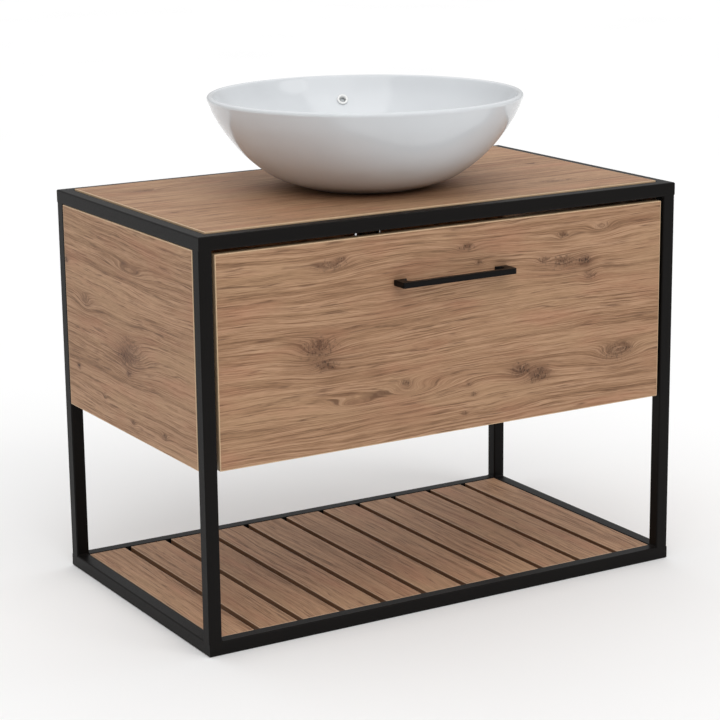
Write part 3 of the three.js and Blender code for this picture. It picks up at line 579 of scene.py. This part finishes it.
# ---------------------------------------------------------------------------------------------
# Drawer: its front is the same board with the liveliest figure; the box behind is plain oak
# decor, dowelled and glued, with a notch at the back that clears the trap.
# ---------------------------------------------------------------------------------------------
DRAWER_EDGING = 1 * MM
DRAWER_ROUND = 0.6 * MM
front_knots = [
    (-196, 532, 44, 13, 15, 0.55),
    (-180, 540, 12, 6, 6, 0.7),
    (27, 534, 26, 10, 11, 0.6),
    (48, 509, 12, 6, 5, 0.6),
    (195, 534, 20, 9, 7, 0.55),
    (266, 540, 30, 12, 12, 0.3),
    (162, 500, 22, 9, 10, 0.5),
    (196, 494, 44, 18, 18, 0.65),
    (236, 492, 20, 15, 9, 0.9),
    (244, 470, 18, 14, 10, 0.5),
    (-218, 418, 52, 28, 26, 0.6),
    (-206, 392, 34, 16, -16, 0.65),
    (-76, 348, 16, 9, 10, 0.6),
    (-60, 336, 110, 26, 26, 0.08),
    (-160, 332, 80, 16, 16, 0.05),
    (31, 332, 9, 6, 5, 0.7),
    (40, 316, 10, 6, 5, 0.55),
    (122, 341, 28, 17, 12, 0.8),
    (152, 330, 36, 20, -16, 0.75),
    (160, 334, 14, 10, 6, 1.0),
    (292, 346, 50, 24, 24, 0.5),
    (312, 350, 24, 12, 8, 0.65),
    (24, 289, 9, 5, 4, 0.6),
]
front_decor = oak_decor("melamine_oak_drawer_front", 0, 2, front_knots)
board("drawer_front", 1, front_decor, "drawer")
box_decor = oak_decor("melamine_oak_drawer_box", 1, 2, [], (500.0, 400.0))
back_decor = oak_decor("melamine_oak_drawer_back", 0, 2, [], (500.0, 150.0))
base_decor = oak_decor("melamine_oak_drawer_base", 0, 1, [], (900.0, 0.0))
for name in ("drawer_side_left", "drawer_side_right"):
    board(name, 0, box_decor, "drawer", DRAWER_EDGING, DRAWER_ROUND)
for name in ("drawer_back_left", "drawer_back_right"):
    board(name, 1, back_decor, "drawer", DRAWER_EDGING, DRAWER_ROUND)
eased("trap_surround", back_decor, "drawer", ARRIS)
eased("drawer_base", base_decor, "drawer", 0.8 * ARRIS)

# ---------------------------------------------------------------------------------------------
# Handle: one die-cast zinc bar with feet that widen towards the front, powder coated black, on
# two M4 screws put in from inside the drawer.
# ---------------------------------------------------------------------------------------------
HANDLE_EDGE = 0.7 * MM
FOOT_LENGTH = 20.5 * MM
BAR_DEPTH = 8 * MM
HANDLE_CORNER = 3 * MM
HOLLOW = 14 * MM
FOOT_FLAT = 2 * MM
WAIST_DEPTH = 8 * MM
WAIST_RUN = 3 * MM
handle_paint = powder_coat("zinc_powder_coat_black", "#0c0a0a", 0.36)


def bend(start, middle, end, steps=10):
    """Points of a quadratic curve, the first one left out."""
    return [
        tuple((1 - t) ** 2 * s + 2 * t * (1 - t) * m + t * t * e for s, m, e in zip(start, middle, end))
        for t in (i / steps for i in range(1, steps + 1))
    ]


handle_low, handle_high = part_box("handle")
half = (handle_high.x - handle_low.x) / 2
foot_y, nose_y = handle_high.y, handle_low.y
bar_y = nose_y + BAR_DEPTH
foot_x = half - FOOT_LENGTH
side_points = [(half, foot_y), (foot_x, foot_y), (foot_x, foot_y - FOOT_FLAT)]
side_points += bend(side_points[-1], (foot_x + HOLLOW, foot_y - WAIST_DEPTH), (foot_x + WAIST_RUN, bar_y))
nose = bend((half - HANDLE_CORNER, nose_y), (half, nose_y), (half, nose_y + HANDLE_CORNER), 6)
outline = [(half - HANDLE_CORNER, nose_y)] + nose + side_points
outline += [(-x, y) for x, y in reversed(outline)]
work = bmesh.new()
outline_face = work.faces.new([work.verts.new((x, y, handle_low.z)) for x, y in outline])
raised = bmesh.ops.extrude_face_region(work, geom=[outline_face])
lifted = [g for g in raised["geom"] if isinstance(g, bmesh.types.BMVert)]
bmesh.ops.translate(work, verts=lifted, vec=(0, 0, handle_high.z - handle_low.z))
bmesh.ops.recalc_face_normals(work, faces=work.faces)
rims = [e for e in work.edges if e.calc_face_angle(0) > math.radians(35)]
bmesh.ops.bevel(work, geom=rims, offset=HANDLE_EDGE, segments=4, profile=0.5, affect="EDGES",
                clamp_overlap=True)
handle_mesh = bpy.data.meshes.new("handle")
work.to_mesh(handle_mesh)
work.free()
handle_mesh.materials.append(handle_paint)
finish_piece("handle", handle_mesh, "drawer", ["handle"])

# ---------------------------------------------------------------------------------------------
# Small steel parts, zinc plated: runner members rolled from strip, hanger cases and screws. Zinc
# plate is bluish and softly bright, with streaks from the rolling along each runner.
# ---------------------------------------------------------------------------------------------
HANGER_EDGE = 0.6 * MM
RUNNER_EDGE = 0.35 * MM


def zinc_plate(name, colour, roughness):
    """Zinc plate: streaks 40 mm long from rolling in its shine, and a faint cloud in its colour."""
    material, node, where = start_material(name)
    stretched = node("VectorMath", (where, (1.2, 1 / 40, 1.2)), operation="MULTIPLY")
    rolled = node("TexNoise", {"Vector": stretched, "Scale": 1.0, "Detail": 3.0})
    spangle = node("TexNoise", {"Vector": where, "Scale": 1 / 12, "Detail": 4.0})
    tone = node("MapRange", {"Value": spangle, "To Min": 0.85, "To Max": 1.1})
    plate_tint = node("VectorMath", {0: linear(colour)[:3], "Scale": tone}, operation="SCALE")
    rough = node("MapRange", (rolled, 0.3, 0.7, roughness - 0.08, roughness + 0.08))
    bump = node("Bump", {"Height": rolled, "Strength": 0.2, "Distance": 0.04 * MM})
    shader = node("BsdfPrincipled", {
        "Base Color": plate_tint, "Metallic": 1.0, "Roughness": rough, "Normal": bump,
    })
    node("OutputMaterial", {"Surface": shader})
    return material


zinc = zinc_plate("steel_zinc_plated", "#b4b8bb", 0.34)
for side in ("left", "right"):
    eased(f"wall_hanger_{side}", zinc, "vanity", HANGER_EDGE)
    eased(f"runner_cabinet_{side}", zinc, "vanity", RUNNER_EDGE)
    eased(f"runner_middle_{side}", zinc, f"runner_middle_{side}", RUNNER_EDGE)
    eased(f"runner_drawer_{side}", zinc, "drawer", RUNNER_EDGE)


def lathe(profile, segments=128):
    """Points and faces of a turned solid about Z; the profile closes on itself or on the axis."""
    points, rows = [], []
    for r, z in profile:
        if r < 1e-6:
            rows.append([len(points)])
            points.append((0.0, 0.0, z))
            continue
        rows.append(list(range(len(points), len(points) + segments)))
        points += [(r * math.cos(2 * math.pi * i / segments), r * math.sin(2 * math.pi * i / segments), z)
                   for i in range(segments)]
    faces = []
    closed = len(rows[0]) > 1
    for k in range(len(rows) if closed else len(rows) - 1):
        a, b = rows[k], rows[(k + 1) % len(rows)]
        for i in range(segments):
            j = (i + 1) % segments
            if len(a) == 1:
                faces.append((a[0], b[j], b[i]))
            elif len(b) == 1:
                faces.append((a[i], a[j], b[0]))
            else:
                faces.append((a[i], a[j], b[j], b[i]))
    return points, faces


def softened(profile, radius, steps=3):
    """The closed profile with each corner rounded by up to radius; corners on the axis stay."""
    count = len(profile)
    result = []
    for k, (r, z) in enumerate(profile):
        before, after = Vector(profile[k - 1]), Vector(profile[(k + 1) % count])
        here = Vector((r, z))
        if r < 1e-6:
            result.append((r, z))
            continue
        reach = min(radius, (before - here).length * 0.45, (after - here).length * 0.45)
        start = here + (before - here).normalized() * reach
        end = here + (after - here).normalized() * reach
        result.append(tuple(start))
        result += bend(tuple(start), (r, z), tuple(end), steps)
    return result


def turned_size(name):
    """The bottom, the top and the radius of an upright turned node, in millimetres."""
    low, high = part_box(name)
    return low.z / MM, high.z / MM, (high.x - low.x) / 2 / MM


def turned_piece(name, profile, material, body, axis=UP, origin=None, segments=128, edge=0.4):
    """A piece turned about its axis from a profile of (radius, height) in millimetres."""
    points, faces = lathe(softened(profile, edge), segments)
    turn = UP.rotation_difference(axis).to_matrix()
    shift = drain_axis if origin is None else origin
    points = [turn @ Vector(p) * MM + shift for p in points]
    return make_piece(name, points, faces, [material], body, [name])


# Handle screws: pan heads on 3.8 mm shanks, whose undersides bear on the inside of the front.
SHANK = 1.9
HEAD_DEPTH = 2.2
for side in ("left", "right"):
    name = f"handle_screw_{side}"
    low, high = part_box(name)
    middle = (low + high) / 2
    head = (high.x - low.x) / 2 / MM
    length = (high.y - low.y) / MM
    turned_piece(name, [
        (0, 0), (head * 0.7, 0.15), (head, 1.2), (head, HEAD_DEPTH), (SHANK, HEAD_DEPTH),
        (SHANK, length - 1), (SHANK * 0.5, length), (0, length),
    ], zinc, "drawer", Vector((0, -1, 0)), Vector((middle.x, high.y, middle.z)), 48, 0.3)

# ---------------------------------------------------------------------------------------------
# Basin: vitreous china, slip cast, glazed white all over except the ground foot. The wall is
# 15 mm at the foot and 9 mm at the fully rounded rim. An overflow is bored high in the far wall.
# ---------------------------------------------------------------------------------------------
RIM_RADIUS = 4.5
WALL_LOW = 15.0
DRAIN_RADIUS = 22.5
RECESS_RADIUS = 33.0
FLOOR_HEIGHT = 15.0
RECESS_FLOOR = 12.4
UNDERSIDE = 4.0
FOOT_INNER = 74.0
BOWL_CURVE = [(90, 0.3), (136, 16.5), (171, 41), (198, 69), (221.8, 103.5), (234.6, 131.8)]
OVERFLOW_SHARE = 0.755
OVERFLOW_TURN = math.radians(21)
OVERFLOW_RADIUS = 6.6
OVERFLOW_DEPTH = (-6 * MM, 4 * MM)
BOWL_SEGMENTS = 192
BOWL_STEPS = 44
RIM_STEPS = 14


def along_bowl(share):
    """A point and a direction on the bowl's outer curve, a smooth curve through its points."""
    spot = share * (len(BOWL_CURVE) - 1)
    k = min(int(spot), len(BOWL_CURVE) - 2)
    t = spot - k
    p1, p2 = Vector(BOWL_CURVE[k]), Vector(BOWL_CURVE[k + 1])
    p0 = Vector(BOWL_CURVE[k - 1]) if k > 0 else p1
    p3 = Vector(BOWL_CURVE[k + 2]) if k + 2 < len(BOWL_CURVE) else p2
    v0, v1 = (p2 - p0) / 2, (p3 - p1) / 2
    point = (2 * p1 - 2 * p2 + v0 + v1) * t ** 3 + (-3 * p1 + 3 * p2 - 2 * v0 - v1) * t ** 2 + v0 * t + p1
    slope = (2 * p1 - 2 * p2 + v0 + v1) * 3 * t ** 2 + (-3 * p1 + 3 * p2 - 2 * v0 - v1) * 2 * t + v0
    return point, slope.normalized()


def across_wall(share, depth):
    """A point of the wall at a share of the bowl's curve; depth is 0 outside and 1 inside."""
    point, slope = along_bowl(share)
    wall = (WALL_LOW + (2 * RIM_RADIUS - WALL_LOW) * share) * depth
    return Vector((point.x - slope.y * wall, point.y + slope.x * wall))


bowl = [across_wall(i / BOWL_STEPS, 0) for i in range(BOWL_STEPS + 1)]
rim_middle = across_wall(1, 0.5)
rim_slope = along_bowl(1)[1]
for i in range(1, RIM_STEPS):
    turn = math.pi * i / RIM_STEPS
    out = Vector((rim_slope.y, -rim_slope.x)) * math.cos(turn) + rim_slope * math.sin(turn)
    bowl.append(rim_middle + out * RIM_RADIUS)
bowl += [across_wall(i / BOWL_STEPS, 1) for i in range(BOWL_STEPS, -1, -1)]
inner_start = bowl[-1]
bowl += [Vector((inner_start.x + (RECESS_RADIUS + 3 - inner_start.x) * t,
                 inner_start.y + (FLOOR_HEIGHT - inner_start.y) * (1 - (1 - t) ** 2)))
         for t in (0.15, 0.3, 0.5, 0.7, 0.85, 1.0)]
bowl += [Vector(p) for p in (
    (RECESS_RADIUS + 0.8, FLOOR_HEIGHT - 0.1), (RECESS_RADIUS, FLOOR_HEIGHT - 0.9),
    (RECESS_RADIUS - 0.3, RECESS_FLOOR), (DRAIN_RADIUS + 0.8, RECESS_FLOOR),
    (DRAIN_RADIUS, RECESS_FLOOR - 0.8), (DRAIN_RADIUS, UNDERSIDE), (FOOT_INNER, UNDERSIDE),
    (FOOT_INNER + 4, 0.3))]


def glaze(name):
    """Opacified white glaze: wet gloss over a body whose slow waves bend the reflections a little."""
    material, node, where = start_material(name)
    waves = node("TexNoise", {"Vector": where, "Scale": 1 / 55, "Detail": 1.0})
    peel = node("TexNoise", {"Vector": where, "Scale": 1 / 4, "Detail": 1.0})
    cloud = node("TexNoise", {"Vector": where, "Scale": 1 / 90, "Detail": 2.0})
    colour = node("ValToRGB", (cloud,), stops=[(0.3, "#d6d9dc"), (0.7, "#dbdee1")])
    height = node("Math", (peel, 0.04, waves), operation="MULTIPLY_ADD")
    bump = node("Bump", {"Height": height, "Strength": 0.25, "Distance": 0.6 * MM})
    shader = node("BsdfPrincipled", {"Base Color": colour, "Roughness": 0.13, "IOR": 1.52, "Normal": bump})
    node("OutputMaterial", {"Surface": shader})
    return material


def bare_china(name):
    """Unglazed vitreous china where the foot was ground flat: matt, warm and faintly gritty."""
    material, node, where = start_material(name)
    grit = node("TexNoise", {"Vector": where, "Scale": 1 / 0.8, "Detail": 4.0})
    colour = node("ValToRGB", (grit,), stops=[(0.35, "#cbc2b4"), (0.65, "#ddd5c8")])
    bump = node("Bump", {"Height": grit, "Strength": 0.4, "Distance": 0.1 * MM})
    shader = node("BsdfPrincipled", {"Base Color": colour, "Roughness": 0.85, "IOR": 1.5, "Normal": bump})
    node("OutputMaterial", {"Surface": shader})
    return material


top_z = worktop_high.z
basin_points, basin_faces = lathe([(p.x * MM, p.y * MM) for p in bowl], BOWL_SEGMENTS)
foot = [max(basin_points[i][2] for i in face) < 0.5 * MM for face in basin_faces]
basin_points = [Vector(p) + drain_axis + Vector((0, 0, top_z)) for p in basin_points]
basin = make_piece("basin", basin_points, basin_faces, [glaze("white_glaze"), bare_china("bare_china_foot")],
                   "vanity", ["basin"], [int(f) for f in foot])
basin.modifiers.clear()

mouth = across_wall(OVERFLOW_SHARE, 1)
mouth_slope = along_bowl(OVERFLOW_SHARE)[1]
bearing = Vector((math.sin(OVERFLOW_TURN), math.cos(OVERFLOW_TURN), 0))
overflow_axis = bearing * -mouth_slope.y + Vector((0, 0, mouth_slope.x))
overflow_mouth = bearing * (mouth.x * MM) + Vector((0, 0, mouth.y * MM + top_z)) + drain_axis
bored(basin, overflow_mouth, OVERFLOW_RADIUS * MM, *OVERFLOW_DEPTH, overflow_axis, 48)

# ---------------------------------------------------------------------------------------------
# Waste and overflow ring: the waste is turned brass, chrome plated, so that it mirrors the white
# bowl, clamped under the worktop by a rubber gasket and a nut; the ring is pressed-in white ABS.
# ---------------------------------------------------------------------------------------------
WASTE_BORE = 17
WASTE_RADIUS = 20.4
GASKET_BORE = 20.8
NUT_EDGE = 0.6 * MM


def chrome_plate(name, colour, roughness):
    """Bright chrome on polished brass: a mirror with faint smears, 18 mm across, in its shine."""
    material, node, where = start_material(name)
    smears = node("TexNoise", {"Vector": where, "Scale": 1 / 18, "Detail": 4.0})
    rough = node("MapRange", (smears, 0.35, 0.7, roughness, roughness + 0.07))
    bump = node("Bump", {"Height": smears, "Strength": 0.05, "Distance": 0.1 * MM})
    shader = node("BsdfPrincipled", {
        "Base Color": linear(colour), "Metallic": 1.0, "Roughness": rough, "Normal": bump,
    })
    node("OutputMaterial", {"Surface": shader})
    return material


def white_plastic(name):
    """Moulded white ABS: glossy, a trace of mould flow in its shine, whiter than the glaze."""
    material, node, where = start_material(name)
    flow = node("TexNoise", {"Vector": where, "Scale": 1 / 5, "Detail": 2.0})
    rough = node("MapRange", {"Value": flow, "To Min": 0.14, "To Max": 0.24})
    bump = node("Bump", {"Height": flow, "Strength": 0.1, "Distance": 0.05 * MM})
    shader = node("BsdfPrincipled", {
        "Base Color": linear("#f4f4f2"), "Roughness": rough, "IOR": 1.53, "Normal": bump,
    })
    node("OutputMaterial", {"Surface": shader})
    return material


def moulded_rubber(name):
    """Moulded nitrile rubber: matt black with a faint bloom."""
    material, node, where = start_material(name)
    bloom = node("TexNoise", {"Vector": where, "Scale": 1 / 3, "Detail": 4.0})
    colour = node("ValToRGB", (bloom,), stops=[(0.35, "#171717"), (0.7, "#232322")])
    bump = node("Bump", {"Height": bloom, "Strength": 0.2, "Distance": 0.1 * MM})
    shader = node("BsdfPrincipled", {"Base Color": colour, "Roughness": 0.75, "IOR": 1.52, "Normal": bump})
    node("OutputMaterial", {"Surface": shader})
    return material


chrome = chrome_plate("brass_chrome_plated", "#d9dbdd", 0.05)
turned_piece(
    "overflow_ring", [(5.2, -5), (6.3, -5), (6.3, 1.5), (8.6, 1.5), (8.3, 2.4), (6.8, 3), (5.2, 2.2)],
    white_plastic("abs_white_gloss"), "vanity", overflow_axis, overflow_mouth, 72, 0.35)

foot, flange, flange_r = turned_size("waste_body")
turned_piece("waste_body", [
    (WASTE_BORE, foot), (WASTE_RADIUS, foot), (WASTE_RADIUS, flange - 2.3), (flange_r - 1, flange - 2.3),
    (flange_r, flange), (26, flange), (20, flange - 2.4), (WASTE_BORE, flange - 5),
], chrome, "vanity")

stem_end, dome, plug_r = turned_size("waste_plug")
seat = dome - 5.6
turned_piece("waste_plug", [
    (0, stem_end), (4, stem_end), (4, seat - 2), (15, seat - 2), (18, seat), (plug_r - 0.5, seat),
    (plug_r, seat + 1.2), (26, seat + 3.4), (15, seat + 5), (0, dome),
], chrome, "plug", edge=3)

low_face, high_face, gasket_r = turned_size("waste_gasket")
turned_piece("waste_gasket", [
    (GASKET_BORE, low_face), (gasket_r, low_face), (gasket_r, high_face), (GASKET_BORE, high_face),
], moulded_rubber("nitrile_rubber"), "vanity", edge=0.8)
eased("waste_nut", chrome, "vanity", NUT_EDGE)

# ---------------------------------------------------------------------------------------------
# Bottle trap: brass tube and bell under the waste, a screw-off cup, and a 32 mm pipe that runs
# to a flange on the wall. Turned, cast or drawn, and chrome plated like the waste.
# ---------------------------------------------------------------------------------------------
PIPE_BORE = 14
DIP_RADIUS = 16.5
COLLAR_RADIUS = 19.8
BELL_TOP = 23.7
BELL_END = 101.7
BELL_WALL = 2.5
BOSS_RADIUS = 18
BOSS_REACH = (24, 48)
BOSS_BORE = (18.5 * MM, 49 * MM)
CUP_BORE = 27
CUP_MOUTH = 30.4
FLANGE_BORE = 16.4

foot, top, union_r = turned_size("trap_union_nut")
turned_piece("trap_union_nut", [
    (WASTE_BORE, foot), (union_r - 1.5, foot), (union_r, foot + 2), (union_r, top - 2), (union_r - 1.5, top),
    (GASKET_BORE, top), (GASKET_BORE, foot + 7.5), (WASTE_BORE, foot + 7.5),
], chrome, "vanity")

foot, top, bottle_r = turned_size("trap_body")
bell_top, bell_end = top - BELL_TOP, top - BELL_END
trap_body = turned_piece("trap_body", [
    (PIPE_BORE, top), (COLLAR_RADIUS, top), (COLLAR_RADIUS, top - 5.9), (DIP_RADIUS, top - 5.9),
    (DIP_RADIUS, bell_top), (bottle_r - 4, bell_top - 4), (bottle_r, bell_top - 10), (bottle_r, bell_end),
    (bottle_r - BELL_WALL, bell_end), (bottle_r - BELL_WALL, bell_top - 12), (DIP_RADIUS, bell_top - 6),
    (DIP_RADIUS, foot), (PIPE_BORE, foot),
], chrome, "vanity", edge=1.5)
pipe_low, pipe_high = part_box("trap_outlet_pipe")
pipe_z = (pipe_low.z + pipe_high.z) / 2
boss = [(0, BOSS_REACH[0]), (BOSS_RADIUS, BOSS_REACH[0]), (BOSS_RADIUS, BOSS_REACH[1]), (0, BOSS_REACH[1])]
boss_points, boss_faces = lathe(softened(boss, 1), 96)
boss_mesh = bpy.data.meshes.new("boss")
boss_mesh.from_pydata([(x * MM + drain_axis.x, z * MM + drain_axis.y, y * MM + pipe_z)
                       for x, y, z in boss_points], [], [tuple(reversed(face)) for face in boss_faces])
combine(trap_body, boss_mesh, "UNION")
bored(trap_body, drain_axis + UP * pipe_z, PIPE_BORE * MM, *BOSS_BORE, Vector((0, 1, 0)))

foot, top, cup_r = turned_size("trap_cup")
turned_piece("trap_cup", [
    (0, foot), (cup_r - 6, foot), (cup_r, foot + 6), (cup_r, top - 2), (cup_r - 1, top),
    (CUP_MOUTH, top), (CUP_MOUTH, top - 7.4), (CUP_BORE, top - 7.4), (CUP_BORE, foot + 9),
    (22, foot + 5), (0, foot + 5),
], chrome, "vanity", edge=1.5)

wall_end = Vector((drain_axis.x, pipe_high.y, pipe_z))
toward_trap = Vector((0, -1, 0))
pipe_r = (pipe_high.x - pipe_low.x) / 2 / MM
pipe_length = (pipe_high.y - pipe_low.y) / MM
turned_piece("trap_outlet_pipe", [
    (PIPE_BORE, 0), (pipe_r, 0), (pipe_r, pipe_length), (PIPE_BORE, pipe_length),
], chrome, "vanity", toward_trap, wall_end)
turned_piece("wall_flange", [
    (FLANGE_BORE, 0), (32, 0), (32, 1.5), (29, 5), (19, 8), (FLANGE_BORE, 8),
], chrome, "vanity", toward_trap, wall_end, edge=1.5)

# ---------------------------------------------------------------------------------------------
# Studio: a plain pale floor in a white surround, one very broad key high at the front, and a
# lower light at the right that gives the handle its soft shadow.
# ---------------------------------------------------------------------------------------------
FLOOR_REACH = 12
floor_mesh = bpy.data.meshes.new("floor")
floor_corners = [(FLOOR_REACH * x, FLOOR_REACH * y, 0) for x, y in ((-1, -1), (1, -1), (1, 1), (-1, 1))]
floor_mesh.from_pydata(floor_corners, [], [(0, 1, 2, 3)])
floor = bpy.data.objects.new("floor", floor_mesh)
bpy.context.scene.collection.objects.link(floor)


def pale_floor(name):
    """Pale matt paint with a very faint cloud, so the floor neither shines nor looks flat."""
    material, node, where = start_material(name)
    cloud = node("TexNoise", {"Vector": where, "Scale": 1 / 800, "Detail": 2.0})
    tone = node("ValToRGB", (cloud,), stops=[(0.3, "#f3f3f3"), (0.7, "#f6f6f6")])
    node("OutputMaterial", {"Surface": node("BsdfPrincipled", {"Base Color": tone, "Roughness": 0.9})})
    return material


floor_mesh.materials.append(pale_floor("pale_floor"))

# The surround is white behind and above, and darker towards the camera, where a studio is open.
world = bpy.data.worlds.new("studio")
bpy.context.scene.world = world
world.use_nodes = True
world.node_tree.nodes.clear()
node = partial(add_node, world)
toward = node("SeparateXYZ", (node("TexCoord").outputs["Generated"],)).outputs
depth_share = node("MapRange", (toward["Y"], -0.9, 0.5, 0.4, 1.28), interpolation_type="SMOOTHSTEP")
side_share = node("MapRange", (toward["X"], -1, 1, 0.46, 0.48))
height_share = node("MapRange", (toward["Z"], 0.1, 0.8, 0.8, 1.95), interpolation_type="SMOOTHSTEP")
level_glow = node("Math", (depth_share, side_share), operation="MULTIPLY")
glow = node("Math", (level_glow, height_share), operation="MULTIPLY")
surround = node("Background", {"Color": linear("#ffffff"), "Strength": glow})
node("OutputWorld", {"Surface": surround})


def soft_sun(name, azimuth, elevation, spread, power):
    """A distant soft light; azimuth is counted from the front, positive to the right."""
    light = bpy.data.lights.new(name, "SUN")
    light.angle, light.energy = math.radians(spread), power
    lamp = bpy.data.objects.new(name, light)
    turn, rise = math.radians(azimuth), math.radians(elevation)
    source = Vector((math.sin(turn) * math.cos(rise), -math.cos(turn) * math.cos(rise), math.sin(rise)))
    lamp.rotation_euler = source.to_track_quat("Z", "Y").to_euler()
    bpy.context.scene.collection.objects.link(lamp)


soft_sun("key_front", -12, 50, 60, 1.32)
soft_sun("low_front_right", 34, 30, 24, 0.3)

bpy.context.scene.view_settings.view_transform = "Standard"

CAMERA_PLACE = (-1.7121, -2.8563, 1.1447)
CAMERA_BEARING = math.radians(30.623)
CAMERA_DIP = math.radians(13.800)
CAMERA_ROLL = math.radians(-0.636)
camera = bpy.data.cameras.new("camera")
camera.sensor_width = 36
camera.lens = 112.54
camera_object = bpy.data.objects.new("camera", camera)
bpy.context.scene.collection.objects.link(camera_object)
bearing = Vector((math.sin(CAMERA_BEARING), math.cos(CAMERA_BEARING), 0))
ahead = bearing * math.cos(CAMERA_DIP) - UP * math.sin(CAMERA_DIP)
level_right = ahead.cross(UP).normalized()
level_up = level_right.cross(ahead)
right = level_right * math.cos(CAMERA_ROLL) + level_up * math.sin(CAMERA_ROLL)
up = level_up * math.cos(CAMERA_ROLL) - level_right * math.sin(CAMERA_ROLL)
turn = Matrix((right, up, -ahead)).transposed().to_4x4()
camera_object.matrix_world = Matrix.Translation(CAMERA_PLACE) @ turn
bpy.context.scene.camera = camera_object

bpy.context.view_layer.update()
